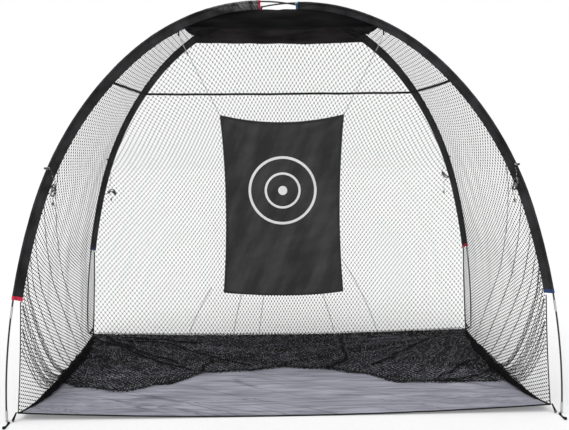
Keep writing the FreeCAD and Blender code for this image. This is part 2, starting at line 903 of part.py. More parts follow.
def hank_point(name, along, across, slant=0.0):
    """A point beside the hank: shares of its half length and half breadth, plus the cord gap."""
    _, centre, lean, _, _ = guys[name]
    gap = cord_end_gap + slant * guy_diameter / 2
    reach = along * hank_length / 2 + math.copysign(gap, along) * (across == 0)
    drop = across * (hank_width / 2 + guy_diameter / 2 + cord_end_gap)
    sideways = math.copysign(1, lean)
    s = centre[0] + reach * sine(lean) + sideways * drop * cosine(lean)
    z = centre[2] + reach * cosine(lean) - sideways * drop * sine(lean)
    return (s, centre[1], z)


def guy_cord(name):
    """The free stretches of a guy line: tab to hank, and hank to slider."""
    drop, _, _, leave, tail = guys[name]
    runs = (drop + [hank_point(name, 1, 0, arrival_slant(name))], [hank_point(name, *leave)] + tail)
    tubes = [cord_tube(leg_points(name, run), guy_diameter, name) for run in runs]
    return [turned(tube, legs[name][2]) for tube in tubes]


def stadium(length, breadth, height):
    """A long plate with round ends, standing on end."""
    straight = length / 2 - breadth / 2
    half = breadth / 2
    wire = Part.Wire([
        line((half, -straight), (half, straight)),
        bend((half, straight), (0, length / 2), (-half, straight)),
        line((-half, straight), (-half, -straight)),
        bend((-half, -straight), (0, -length / 2), (half, -straight)),
    ])
    face = Part.Face(wire)
    face.translate(Vector(0, -height / 2, 0))
    return face.extrude(Vector(0, height, 0))


def guy_hank(name):
    """The wound part of a guy line: an oblong coil with its long slot."""
    _, centre, lean, _, _ = guys[name]
    wound = stadium(hank_length, hank_width, hank_thickness)
    slot = stadium(hank_length - hank_width + hank_eye, hank_eye, 2 * hank_thickness)
    hank = wound.cut(slot)
    hank.rotate(Vector(0, 0, 0), Vector(0, 1, 0), lean)
    hank.translate(leg_points(name, [centre])[0])
    return turned(hank, legs[name][2])


def guy_slider(name):
    """A flat plastic tensioner with three holes at the end of the line."""
    end = leg_points(name, guys[name][4][-1:])[0]
    body = stadium(slider_length, slider_width, slider_thickness)
    for offset in (-1, 0, 1):
        place = Vector(0, -slider_thickness, offset * slider_length * 0.3)
        body = body.cut(Part.makeCylinder(slider_hole / 2, 2 * slider_thickness, place, Vector(0, 1, 0)))
    body.translate(end - Vector(0, 0, slider_length / 2 + cord_end_gap))
    return turned(body, legs[name][2])


def hanger_tab(side):
    """Webbing that drops from the sleeve's inner edge and holds a hanger ring."""
    wire = hanger_ring_wire / 2
    inside = wire + hanger_clearance
    outside = inside + webbing
    axis_height = ring_height + hanger_ring_radius
    centre = Vector(side * ring_spread - hanger_width / 2, target_plane, axis_height)
    loop = disc(centre, Vector(1, 0, 0), outside).extrude(Vector(hanger_width, 0, 0))
    foot = centre - Vector(0, webbing + hanger_shift, 0)
    neck = Part.makeBox(hanger_width, 2 * webbing, sleeve_width / 2, foot)
    hole = disc(centre, Vector(1, 0, 0), inside).extrude(Vector(hanger_width, 0, 0))
    name = "front_left" if side < 0 else "front_right"
    colour = legs[name][0]
    turn = turn_at_reach(math.hypot(ring_spread, target_plane), inner_edge)
    cloth = turned(sleeve_piece(colour, turn - 2, turn + 2), legs[name][2], lift[colour])
    tab = loop.fuse(neck).cut(hole).cut(cloth)
    return min(tab.Solids, key=lambda solid: solid.BoundBox.ZMin)


def hanger_ring(side):
    centre = Vector(side * ring_spread, target_plane, ring_height)
    return Part.makeTorus(hanger_ring_radius, hanger_ring_wire / 2, centre, Vector(0, 1, 0))


def cord_line(side):
    """Start at the hanger ring, unit direction and length of a target cord's straight line."""
    centre = Vector(side * ring_spread, target_plane, ring_height)
    corner = Vector(side * target_top_half, target_plane, target_top)
    run = corner - centre
    direction = Vector(run).normalize()
    start = centre + direction * (hanger_ring_radius + hanger_ring_wire / 2 + cord_end_gap)
    return start, direction, (corner - start).Length


def target_elastic(side):
    start, direction, _ = cord_line(side)
    return Part.makeCylinder(elastic_diameter / 2, elastic_length, start, direction)


def target_toggle(side):
    """A small barrel bead between the elastic loop and the thin cord."""
    start, direction, _ = cord_line(side)
    base = start + direction * elastic_length
    bead = Part.makeCylinder(toggle_diameter / 2, toggle_length, base, direction)
    return bead.makeFillet(toggle_diameter / 4, [edge for edge in bead.Edges if edge.Closed])


def target_cord(side):
    start, direction, length = cord_line(side)
    used = elastic_length + toggle_length
    base = start + direction * used
    return Part.makeCylinder(target_cord_diameter / 2, length - used - cord_end_gap, base, direction)


def target_outline(inset):
    """Outline of the target: sagging top, hollow sides and a bowed foot."""
    top_half = target_top_half - inset
    bottom_half = target_bottom_half - inset
    top = target_top - inset
    bottom = target_bottom + inset
    middle = (top + bottom) / 2
    waist = (top_half + bottom_half) / 2 - target_side_hollow
    return Part.Wire([
        bend((-top_half, top), (0, top - target_top_sag), (top_half, top)),
        bend((top_half, top), (waist, middle), (bottom_half, bottom)),
        bend((bottom_half, bottom), (0, bottom - target_bottom_drop), (-bottom_half, bottom)),
        bend((-bottom_half, bottom), (-waist, middle), (-top_half, top)),
    ])


def target_plate(outline, holes, thickness):
    plate = upright_plate(outline, holes, thickness)
    plate.translate(Vector(0, target_plane, 0))
    return plate


def build():
    os.makedirs("parts", exist_ok=True)

    red = pole_sections("red")
    blue = pole_sections("blue")
    write("leg_section_front_left", red[0])
    write("leg_section_rear_right", red[-1])
    write("leg_section_rear_left", blue[0])
    write("leg_section_front_right", blue[-1])
    write_group("red_arch_sections", red[1:-1])
    write_group("blue_arch_sections", blue[1:-1])
    for colour in lift:
        write_group(colour + "_pole_ferrules", pole_ferrules(colour))
        write(colour + "_shock_cord", shock_cord(colour))
        write_group(colour + "_sleeve_trims", sleeve_trims(colour))
    write_group("pole_tips", [pole_tip(name) for name in legs])

    for name in legs:
        write("sleeve_" + name, sleeve(name))
        write("stake_loop_" + name, stake_loop(name))
        write_group("guy_cord_" + name, guy_cord(name))
        write("guy_hank_" + name, guy_hank(name))
        write("guy_slider_" + name, guy_slider(name))
    write_group("guy_tabs", [guy_tab(name) for name in legs])
    write_group("pin_rings", [pin_ring(name) for name in legs])
    write_group("corner_straps", [corner_strap(name) for name in legs])

    for side in ("left", "rear", "right"):
        write("net_" + side, net_wall(side))
    write("belt_tape", belt_tape())
    write_group("canopy", canopy())
    front = [edge_cord(name, front_cord_diameter) for name in ("front_left", "front_right")]
    rear = [edge_cord(name, rear_tape_diameter) for name in ("rear_left", "rear_right")]
    write_group("front_edge_cords", front)
    write_group("rear_corner_tapes", rear)
    write_group("hem_tape", hem_tape())
    write("floor_sheet", floor_sheet())
    write("floor_net", floor_net())

    write_group("hanger_tabs", [hanger_tab(side) for side in (-1, 1)])
    write_group("hanger_rings", [hanger_ring(side) for side in (-1, 1)])
    write_group("target_toggles", [target_toggle(side) for side in (-1, 1)])
    for label, side in (("left", -1), ("right", 1)):
        write("target_elastic_" + label, target_elastic(side))
        write("target_cord_" + label, target_cord(side))
    outside = target_outline(0)
    inside = target_outline(binding_width)
    write("target_sheet", target_plate(inside, [], target_cloth))
    write("target_binding", target_plate(outside, [inside], binding_thickness))


build()
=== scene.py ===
import math

import bpy
import numpy as np
from mathutils import Matrix, Vector, noise


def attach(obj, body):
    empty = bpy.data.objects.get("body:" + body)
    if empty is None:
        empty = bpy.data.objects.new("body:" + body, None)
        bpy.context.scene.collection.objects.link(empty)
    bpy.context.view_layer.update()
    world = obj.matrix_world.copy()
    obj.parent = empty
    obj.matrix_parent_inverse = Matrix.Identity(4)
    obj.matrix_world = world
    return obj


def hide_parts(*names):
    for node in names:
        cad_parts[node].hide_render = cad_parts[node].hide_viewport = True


# Golf chipping net: the finished look of every piece, in metres, on the CAD frame.
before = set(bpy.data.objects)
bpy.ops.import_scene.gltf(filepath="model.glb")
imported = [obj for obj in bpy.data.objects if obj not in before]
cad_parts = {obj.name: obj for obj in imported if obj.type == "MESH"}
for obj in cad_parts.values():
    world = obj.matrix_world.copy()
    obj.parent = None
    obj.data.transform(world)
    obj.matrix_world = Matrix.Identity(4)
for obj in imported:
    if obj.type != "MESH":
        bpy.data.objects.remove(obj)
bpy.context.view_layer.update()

# Arch of the poles
WIDTH = 3.05
DEPTH = 1.83
CROWN_HEIGHT = 2.387
CROWN_TURN = 42.0
SHOULDER_TURN = 71.5
FOOT_TURN = 90.0
SHOULDER_RADIUS = 1.98
POLE_LIFT = 0.00485

# Sleeves, net edges and canopy
POCKET_RADIUS = 0.0077
INNER_EDGE = 0.0423
SLEEVE_LAP = 0.0070
WEB_HALF = 0.0008
SLEEVE_FOOT = 0.675
SLEEVE_CROWN = 0.135
SLEEVE_ROWS = 170
TRIM_ROWS = 6
TRIM_LAP = 0.0008
TRIM_LENGTH = 0.022
CROWN_TRIM = 0.016
CROWN_SHIFT = {"front_left": 0.013, "front_right": -0.017}
CANOPY_REACH = 0.675
CLEARANCE = 0.0004
CANOPY_CLOTH = 0.0012
CANOPY_HEM = (0.006, 0.0024)
REAR_RISE = 0.048
REAR_TAPE = 0.009
FRONT_CORD = 0.006
NET_CORNER = 0.0024
SEAM_HEIGHT = 0.0066

# Floor
CORNER_REACH = 1.726
FRONT_LIFT = 0.042
LIFT_RUN = 0.620
SIDE_BOW = 0.040
REAR_BOW = 0.110
HEM_WIDTH = 0.014
HEM_THICKNESS = 0.003
ROLL_RADIUS = 0.025
ROLL_STEP = 0.011
ROLL_COLUMNS = 11
FLOOR_ROWS = 190
FLOOR_COLUMNS = 260

# Depths of the loose net's front edge, from left to right
FLOOR_NET_FRONT = [-0.230, -0.400, -0.475, -0.360, -0.140, -0.115, -0.055]
FLOOR_NET_FRONT += [-0.090, -0.200, -0.390, -0.395, -0.405, -0.370]

# Netting: radii of the twines and knots, steps from row to row and half widths of the cells
TWINE = 0.0012
SIDE_TWINE = 0.0009
FOLD_TWINE = 0.0014
REAR_KNOT = 0.0046
SIDE_KNOT = 0.0036
FLOOR_KNOT = 0.0046
LOOSE_TWINE = 0.0023
FLOOR_FOLD_TWINE = 0.0020
TWINE_INSET = 0.0006
FIRST_ROW = -0.10
SHORTEST_BAR = 0.002
REAR_CELL_MIDDLE = 0.0118
REAR_CELL_SIDE = 0.0172
REAR_ROW_STEP = 0.0205
SIDE_HALF_CELL = 0.0250
SIDE_ROW_STEP = 0.0105
FLOOR_HALF_CELL = 0.0160
FLOOR_ROW_STEP = 0.0235
PLEAT_CELL = 0.018
PLEAT_ROW_STEP = 0.0125

# Flat sizes of the nets, from before they hang
REAR_NET_LENGTH = 4.2
REAR_NET_HALF = 1.5
SIDE_NET_LENGTH = 3.6
SIDE_NET_HALF = 0.95
FLOOR_NET_LENGTH = 1.90
FLOOR_NET_HALF = 1.60

# Belt
BELT_HEIGHT = 1.850
BELT_WIDTH = 0.015
BELT_THICKNESS = 0.0015
BELT_INSET = 0.0028

# Guy lines
GUY_DIAMETER = 0.0025
TAB_HEIGHT = 1.372
TAB_RADIUS = 0.006
WEBBING = 0.0014

# Target
TARGET_PLANE = -0.363
TARGET_TOP_HALF = 0.374
TARGET_BOTTOM_HALF = 0.368
TARGET_TOP = 1.672
TARGET_BOTTOM = 0.590
TARGET_TOP_SAG = 0.046
TARGET_BOTTOM_DROP = 0.024
TARGET_SIDE_HOLLOW = 0.025
BINDING_WIDTH = 0.014
BINDING_THICKNESS = 0.0026
RING_SPREAD = 0.607
RING_HEIGHT = 2.131
RING_REACH = 0.0123
ELASTIC_LENGTH = 0.085
ELASTIC_DIAMETER = 0.0045
CORD_DIAMETER = 0.0026
TOGGLE_LENGTH = 0.014
CORD_GAP = 0.0003

# Sizes that follow from the ones above
HALF_DIAGONAL = math.hypot(WIDTH / 2, DEPTH / 2)
DIAGONAL_ANGLE = math.degrees(math.atan2(DEPTH, WIDTH))

# Each leg's colour and the direction in which it runs out from the crown
LEGS = {
    "front_left": ("red", 180 + DIAGONAL_ANGLE),
    "rear_right": ("red", DIAGONAL_ANGLE),
    "front_right": ("blue", -DIAGONAL_ANGLE),
    "rear_left": ("blue", 180 - DIAGONAL_ANGLE),
}
LIFT = {"red": POLE_LIFT, "blue": -POLE_LIFT}
SIDES = (("left", -1), ("right", 1))
UP = Vector((0, 0, 1))
BACK = Vector((0, 1, 0))


def halves(reach):
    """Half width and half depth of the rectangle whose corners lie at a reach along the diagonals."""
    return reach * WIDTH / 2 / HALF_DIAGONAL, reach * DEPTH / 2 / HALF_DIAGONAL


CORNER_X, CORNER_Y = halves(CORNER_REACH)


def sine(turn):
    return math.sin(math.radians(turn))


def cosine(turn):
    return math.cos(math.radians(turn))


def smooth(value):
    value = min(1.0, max(0.0, value))
    return value * value * (3 - 2 * value)


def between(start, end, share):
    """The value or point at a share of the way from one to another."""
    return start + (end - start) * share


def on_line(start, end, share):
    """A place, as a tuple, at a share of the way from one to another."""
    return tuple(between(a, b, share) for a, b in zip(start, end))


def arc(share):
    """0 at both ends and 1 half way."""
    return math.sin(math.pi * share)


def bell(value, breadth):
    """1 at the middle, close to 0 from twice the breadth."""
    return math.exp(-((value / breadth) ** 2))


def wave(*values):
    """Smooth repeatable noise between about -1 and 1."""
    return noise.noise(Vector(values)) * 1.6


def put(name, data):
    thing = bpy.data.objects.new(name, data)
    bpy.context.scene.collection.objects.link(thing)
    return thing


# Camera, as it stood for the photograph
CAMERA_PLACE = Vector((-0.092, -4.812, 1.543))
CAMERA_YAW = 1.31
CAMERA_PITCH = -6.13
CAMERA_ROLL = -0.46
FOCAL_PIXELS = 735.1
PICTURE_WIDTH = 569
SENSOR_WIDTH = 36.0


def make_camera():
    forward = Vector((sine(CAMERA_YAW) * cosine(CAMERA_PITCH), cosine(CAMERA_YAW) * cosine(CAMERA_PITCH),
                      sine(CAMERA_PITCH)))
    level = Vector((cosine(CAMERA_YAW), -sine(CAMERA_YAW), 0))
    up = level.cross(forward)
    right = level * cosine(CAMERA_ROLL) + up * sine(CAMERA_ROLL)
    top = up * cosine(CAMERA_ROLL) - level * sine(CAMERA_ROLL)
    data = bpy.data.cameras.new("camera")
    data.sensor_width = SENSOR_WIDTH
    data.lens = FOCAL_PIXELS * SENSOR_WIDTH / PICTURE_WIDTH
    camera = put("camera", data)
    turn = Matrix((right, top, -forward)).transposed()
    camera.matrix_world = Matrix.Translation(CAMERA_PLACE) @ turn.to_4x4()
    bpy.context.scene.camera = camera


make_camera()


# Materials
def new_material(name):
    material = bpy.data.materials.new(name)
    material.use_nodes = True
    return material, material.node_tree


def add(tree, kind, inputs=None, **settings):
    """A node with its settings. Its inputs, by name or number, are sockets to link or values."""
    node = tree.nodes.new("ShaderNode" + kind)
    for key, value in settings.items():
        setattr(node, key, value)
    for key, value in (inputs or {}).items():
        if isinstance(value, bpy.types.NodeSocket):
            tree.links.new(value, node.inputs[key])
        else:
            node.inputs[key].default_value = value
    return node


def place(tree, scale, stretch=(1, 1, 1), turn=(0, 0, 0)):
    """Object coordinates, stretched, scaled and turned for a texture."""
    inputs = {"Vector": add(tree, "TexCoord").outputs["Object"]}
    inputs["Scale"] = [1 / (scale * part) for part in stretch]
    inputs["Rotation"] = [math.radians(part) for part in turn]
    return add(tree, "Mapping", inputs, vector_type="TEXTURE").outputs["Vector"]


def noise_value(tree, scale, detail=3.0, stretch=(1, 1, 1), turn=(0, 0, 0)):
    inputs = {"Vector": place(tree, scale, stretch, turn), "Scale": 1.0, "Detail": detail}
    return add(tree, "TexNoise", inputs).outputs["Fac"]


def weave_value(tree, thread):
    """Height of a plain weave: two sets of threads across each other."""
    waves = {}
    for index, direction in enumerate(("X", "Z")):
        inputs = {"Vector": place(tree, 0.3 / thread), "Scale": 1.0, "Distortion": 0.4, "Detail": 1.0}
        waves[index] = add(tree, "TexWave", inputs, bands_direction=direction).outputs["Fac"]
    return add(tree, "Math", waves, operation="MAXIMUM").outputs[0]


def height_share(tree, low, high):
    """0 below one height, 1 above another."""
    parts = add(tree, "SeparateXYZ", {0: add(tree, "TexCoord").outputs["Object"]})
    inputs = {"Value": parts.outputs["Z"], "From Min": low, "From Max": high}
    return add(tree, "MapRange", inputs).outputs[0]


def blend_colour(tree, value, low, high, edges=(0.3, 0.7)):
    """A colour that runs from low to high as the value passes from edge to edge."""
    ramp = add(tree, "ValToRGB", {"Fac": value})
    for stop, edge, colour in zip(ramp.color_ramp.elements, edges, (low, high)):
        stop.position = edge
        stop.color = (*colour, 1)
    return ramp.outputs["Color"]


def mix_colours(tree, factor, first, second, way="MIX"):
    inputs = {"Factor": factor, "A": first, "B": second}
    return add(tree, "Mix", inputs, data_type="RGBA", blend_type=way).outputs["Result"]


def crease_shade_lines(tree, scale, stretch, turn, shade):
    """1 with thin darker lines of painted shade, the way that sharp creases show in a sheet."""
    value = noise_value(tree, scale, 1.0, stretch, turn)
    lines = blend_colour(tree, value, (1, 1, 1), (1, 1, 1), (0.488, 0.512))
    lines.node.color_ramp.elements.new(0.5).color = (shade, shade, shade, 1)
    return lines


def surface(material, colour, roughness, heights=(), shine=0.5, metallic=0.0):
    """Sets a material's colour, shine and bump, from (height, strength, distance) entries."""
    tree = material.node_tree
    shader = tree.nodes["Principled BSDF"]
    tree.links.new(colour, shader.inputs["Base Color"])
    values = {"Roughness": roughness, "Specular IOR Level": shine, "Metallic": metallic}
    for key, value in values.items():
        shader.inputs[key].default_value = value
    bump = {}
    for height, strength, distance in heights:
        bump.update(Height=height, Strength=strength, Distance=distance)
        bump["Normal"] = add(tree, "Bump", bump).outputs["Normal"]
        tree.links.new(bump["Normal"], shader.inputs["Normal"])
    return material


# Painted shade lines for the sharp creases of the ground cloth: stretch, turn and shade
SHEET_CREASE_SHADES = [((0.05, 1.2, 1), (0, 0, -8), 0.72), ((0.06, 0.8, 1), (0, 0, -26), 0.60)]


def cloth(name, low, high, roughness, thread, crease, stretch=(1, 1, 1), shine=0.05, shade_streaks=None):
    """Woven coated cloth with patches of tone and fine creases. With shade streaks, painted shade darkens it
    in streaks and thin crease lines.
    """
    material, tree = new_material(name)
    colour = blend_colour(tree, noise_value(tree, 9.0, 4.0, stretch), low, high)
    # Painted shade: darker streaks and thin crease lines multiplied into the colour
    if shade_streaks:
        tone = noise_value(tree, 24.0, 5.0, shade_streaks)
        shades = [blend_colour(tree, tone, (0.66,) * 3, (1,) * 3, (0.36, 0.56))]
        shades += [crease_shade_lines(tree, 6.0, *lines) for lines in SHEET_CREASE_SHADES]
        for shade in shades:
            colour = mix_colours(tree, 1.0, colour, shade, "MULTIPLY")
    weave = (weave_value(tree, thread), 0.25, thread / 3)
    folds = (noise_value(tree, crease, 3.0, stretch), 0.5, 0.004)
    return surface(material, colour, roughness, [weave, folds], shine)


def twine(name, colour, roughness=0.6):
    material, tree = new_material(name)
    dark = [part * 0.6 for part in colour]
    tone = blend_colour(tree, noise_value(tree, 60.0, 2.0), dark, colour)
    return surface(material, tone, roughness, [(noise_value(tree, 900.0, 2.0), 0.4, 0.0004)], 0.1)


def braid(name, low, high, fleck):
    """Braided cord with flecks of a second colour."""
    material, tree = new_material(name)
    flecks = add(tree, "TexVoronoi", {"Vector": place(tree, 1 / fleck), "Scale": 1.0})
    colour = blend_colour(tree, flecks.outputs["Color"], low, high, (0.55, 0.75))
    return surface(material, colour, 0.55, [(flecks.outputs["Distance"], 0.5, 0.0005)])


def metal(name, colour, roughness):
    material, tree = new_material(name)
    scuffs = noise_value(tree, 220.0, 4.0, (1, 1, 0.2))
    tone = blend_colour(tree, scuffs, [0.75 * part for part in colour], colour)
    return surface(material, tone, roughness, [(scuffs, 0.15, 0.0003)], metallic=1.0)


def plastic(name, colour, roughness):
    material, tree = new_material(name)
    speckle = noise_value(tree, 500.0)
    tone = blend_colour(tree, speckle, colour, [1.3 * part for part in colour])
    return surface(material, tone, roughness, [(speckle, 0.15, 0.0002)])


def banded(name, low, high, split, soft):
    """Binding tape whose colour changes from low to high at a height."""
    material, tree = new_material(name)
    colour = blend_colour(tree, height_share(tree, split - soft, split + soft), low, high, (0.45, 0.55))
    return surface(material, colour, 0.7, [(weave_value(tree, 0.0006), 0.3, 0.0002)])


def sunlit_sleeve():
    """Sleeve cloth with a painted highlight: lighter in slanting wrinkles near the crown, where it catches
    the light.
    """
    material, tree = new_material("crown_highlight_cloth")
    dull = blend_colour(tree, noise_value(tree, 9.0, 4.0), *SLEEVE_TONES)
    wrinkles = noise_value(tree, 30.0, 2.0, (4.0, 1, 0.5), (0, -35, 0))
    bright = blend_colour(tree, wrinkles, (0.04,) * 3, (0.30,) * 3, (0.4, 0.6))
    # Painted highlight: above this height the colour turns to the bright wrinkles
    colour = mix_colours(tree, height_share(tree, 2.30, 2.36), dull, bright)
    heights = [(weave_value(tree, 0.0007), 0.25, 0.0002), (wrinkles, 0.5, 0.004)]
    return surface(material, colour, 0.55, heights, 0.12)


SLEEVE_TONES = ((0.008, 0.008, 0.009), (0.042, 0.042, 0.045))
sleeve_cloth = cloth("sleeve_cloth", *SLEEVE_TONES, 0.55, 0.0007, 45.0, shine=0.12)
crown_highlight_cloth = sunlit_sleeve()
canopy_cloth = cloth("canopy_cloth", (0.0015, 0.0014, 0.0015), (0.0085, 0.0078, 0.0080), 0.7, 0.0007, 20.0,
                     (0.5, 1, 2), shine=0.02)
canopy_lining = cloth("canopy_lining", (0.014, 0.013, 0.014), (0.055, 0.049, 0.051), 0.8, 0.0007, 20.0,
                      (0.5, 1.5, 2), shine=0.0)
# Ground cloth, with painted shade in streaks and crease lines
ground_cloth = cloth("ground_cloth", (0.27, 0.27, 0.32), (0.43, 0.43, 0.50), 0.5, 0.0009, 7.0, (0.35, 1.6, 1),
                     shade_streaks=(0.12, 1.7, 1))
net_twine = twine("net_twine", (0.012, 0.012, 0.013))
# Twine for the loose net's knots: its pale flecks are painted glints where light catches the knots
knot_glint_twine = braid("knot_glint_twine", (0.05, 0.05, 0.05), (0.50, 0.50, 0.50), 0.020)
webbing = cloth("black_webbing", (0.006, 0.006, 0.006), (0.014, 0.014, 0.015), 0.7, 0.0012, 90.0)
edge_cord = twine("edge_cord", (0.012, 0.012, 0.012), 0.7)
red_tape = banded("red_tape", (0.55, 0.01, 0.05), (0.62, 0.015, 0.06), 0.664, 0.004)
# Blue foot trim: the darker colour of its upper part is painted shade
blue_tape = banded("blue_tape", (0.05, 0.27, 0.55), (0.012, 0.040, 0.13), 0.668, 0.003)
blue_crown_tape = banded("blue_crown_tape", (0.02, 0.10, 0.22), (0.40, 0.66, 0.85), 2.372, 0.006)
tube_black = plastic("tube_black", (0.008, 0.008, 0.009), 0.3)
bright_metal = metal("bright_metal", (0.62, 0.63, 0.64), 0.35)
plated_wire = metal("plated_wire", (0.85, 0.85, 0.86), 0.25)
black_plastic = plastic("black_plastic", (0.010, 0.010, 0.010), 0.45)
guy_braid = braid("guy_braid", (0.005, 0.005, 0.005), (0.50, 0.50, 0.50), 0.0060)
dark_braid = braid("dark_braid", (0.010, 0.010, 0.010), (0.05, 0.05, 0.05), 0.002)
pale_elastic = braid("pale_elastic", (0.25, 0.25, 0.24), (0.6, 0.6, 0.58), 0.0015)


def paint(node, material):
    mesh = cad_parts[node].data
    mesh.materials.clear()
    mesh.materials.append(material)


CAD_FINISH = {
    tube_black: ["leg_section_" + name for name in LEGS] + ["red_arch_sections", "blue_arch_sections"],
    bright_metal: ["red_pole_ferrules", "blue_pole_ferrules", "pole_tips"],
    plated_wire: ["pin_rings", "hanger_rings"],
    dark_braid: ["red_shock_cord", "blue_shock_cord"],
    webbing: ["corner_straps", "guy_tabs", "hanger_tabs"] + ["stake_loop_" + name for name in LEGS],
    black_plastic: ["target_toggles"] + ["guy_slider_" + name for name in LEGS],
}
for finish, names in CAD_FINISH.items():
    for name in names:
        paint(name, finish)


# Shapes shared by the pieces
def new_mesh(name, points, faces, material):
    mesh = bpy.data.meshes.new(name)
    mesh.from_pydata([tuple(point) for point in points], [], faces)
    mesh.materials.append(material)
    return mesh


def mesh_piece(name, points, faces, material, body="shelter", shade=True):
    mesh = new_mesh(name, points, faces, material)
    if shade:
        mesh.shade_smooth()
    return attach(put(name, mesh), body)


def curve_piece(name, points, diameter, material, body="shelter"):
    """A cord along a smooth spline with these control points."""
    data = bpy.data.curves.new(name, "CURVE")
    data.dimensions = "3D"
    data.bevel_depth = diameter / 2
    data.bevel_resolution = 2
    data.use_fill_caps = True
    data.resolution_u = 8
    spline = data.splines.new("NURBS")
    spline.points.add(len(points) - 1)
    for point, target in zip(points, spline.points):
        target.co = (*point, 1)
    spline.order_u = 3
    spline.use_endpoint_u = True
    data.materials.append(material)
    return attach(put(name, data), body)


def grid_faces(rows, columns):
    firsts = [row * columns + column for row in range(rows - 1) for column in range(columns - 1)]
    return [(first, first + 1, first + columns + 1, first + columns) for first in firsts]


def ribbon(name, path, across, up, size, material, body="shelter"):
    """Flat tape along a path, as wide and as thick as its size says, in the directions across and up."""
    points = []
    for middle, side, rise in zip(path, across, up):
        for a, b in ((-1, -1), (1, -1), (1, 1), (-1, 1), (-1, -1)):
            points.append(middle + side * (a * size[0] / 2) + rise * (b * size[1] / 2))
    return mesh_piece(name, points, grid_faces(len(path), 5), material, body, shade=False)


def solve_radii():
    """Radii of the crown's and the leg's arcs, so that the arch ends at the foot and the crown height."""
    a = sine(CROWN_TURN)
    b = sine(FOOT_TURN) - sine(SHOULDER_TURN)
    c = 1 - cosine(CROWN_TURN)
    d = cosine(SHOULDER_TURN) - cosine(FOOT_TURN)
    reach = HALF_DIAGONAL - SHOULDER_RADIUS * (sine(SHOULDER_TURN) - sine(CROWN_TURN))
    drop = CROWN_HEIGHT - SHOULDER_RADIUS * (cosine(CROWN_TURN) - cosine(SHOULDER_TURN))
    det = a * d - b * c
    return (reach * d - b * drop) / det, (a * drop - c * reach) / det


def arch_arcs():
    """Radius, centre, first and last turn of each arc from the crown to the foot."""
    crown, leg = solve_radii()
    arcs = [(crown, 0.0, CROWN_HEIGHT - crown, 0.0, CROWN_TURN)]
    for radius, start, end in ((SHOULDER_RADIUS, CROWN_TURN, SHOULDER_TURN), (leg, SHOULDER_TURN, FOOT_TURN)):
        last_radius, last_s, last_z, _, _ = arcs[-1]
        change = last_radius - radius
        arcs.append((radius, last_s + change * sine(start), last_z + change * cosine(start), start, end))
    return arcs


ARCS = arch_arcs()


def arch_point(turn, inset=0.0):
    """Reach and height of the arch at a turn, moved in by an inset."""
    for radius, centre_s, centre_z, _, end in ARCS:
        if turn <= end or end == FOOT_TURN:
            return centre_s + (radius - inset) * sine(turn), centre_z + (radius - inset) * cosine(turn)


def turn_where(value, part, inset=0.0):
    """The turn at which the reach (part 0) or the height (part 1) has a value."""
    low, high = 0.0, FOOT_TURN
    rising = part == 0
    for _ in range(50):
        middle = (low + high) / 2
        if (arch_point(middle, inset)[part] < value) == rising:
            low = middle
        else:
            high = middle
    return (low + high) / 2


def in_leg(name, s, n, z):
    """A point from its reach along a leg, its offset sideways and its height."""
    angle = LEGS[name][1]
    return Vector((s * cosine(angle) - n * sine(angle), s * sine(angle) + n * cosine(angle), z))


# Sleeves: one strip of cloth folded round the pole, both edges sewn to the net
def sleeve_section():
    """The strip from edge to edge: (inset, side, True) on its webs, (0, turn, False) round the pole."""
    webs = [between(INNER_EDGE + SLEEVE_LAP, POCKET_RADIUS * 0.98, step / 7) for step in range(8)]
    section = [(inset, 1.0, True) for inset in webs]
    section += [(0.0, 15 + 330 * step / 16, False) for step in range(1, 16)]
    return section + [(inset, -1.0, True) for inset in reversed(webs)]


def sleeve_point(name, turn, entry, grow):
    """One point of a sleeve's cloth, with its creases."""
    first, second, on_web = entry
    lift = LIFT[LEGS[name][0]]
    length = math.radians(turn) * 1.8
    seed = 7.0 * list(LEGS).index(name)
    if on_web:
        share = min(1.0, (first - POCKET_RADIUS) / (INNER_EDGE - POCKET_RADIUS))
        crease = 0.0028 * wave(length * 9 + first * 60, seed, 0.0) * arc(0.8 * min(1, 0.15 + share))
        crease += 0.0012 * wave(length * 34 - first * 90, seed, 3.0) * share
        inset = first
        side = second * (WEB_HALF + grow + 0.0016 * (1 - share) ** 3) + crease * (1 - share**4)
        lift = lift * (1 - share)
    else:
        radius = POCKET_RADIUS + grow + 0.0006 * wave(length * 30, second / 40, seed)
        inset = radius * cosine(second)
        side = radius * sine(second)
    reach, height = arch_point(turn, inset)
    return in_leg(name, reach, side, height + lift)


def sleeve_strip(label, name, start, end, grow, material, rows):
    """A length of sleeve or trim between two turns, grown outwards where it laps the sleeve."""
    section = sleeve_section()
    points = []
    for row in range(rows):
        turn = between(start, end, row / (rows - 1))
        points += [sleeve_point(name, turn, entry, grow) for entry in section]
    return mesh_piece(label, points, grid_faces(rows, len(section)), material)


def sleeve_turns(name):
    """The turns where a sleeve starts at the crown and ends at the foot, and its trims' inner ends."""
    colour = LEGS[name][0]
    start = turn_where(SLEEVE_CROWN + CROWN_SHIFT.get(name, 0.0), 0)
    end = turn_where(SLEEVE_FOOT - LIFT[colour], 1)
    crown_step = math.degrees(CROWN_TRIM / ARCS[0][0])
    foot_step = math.degrees(TRIM_LENGTH / ARCS[-1][0])
    return start, start + crown_step, end - foot_step, end


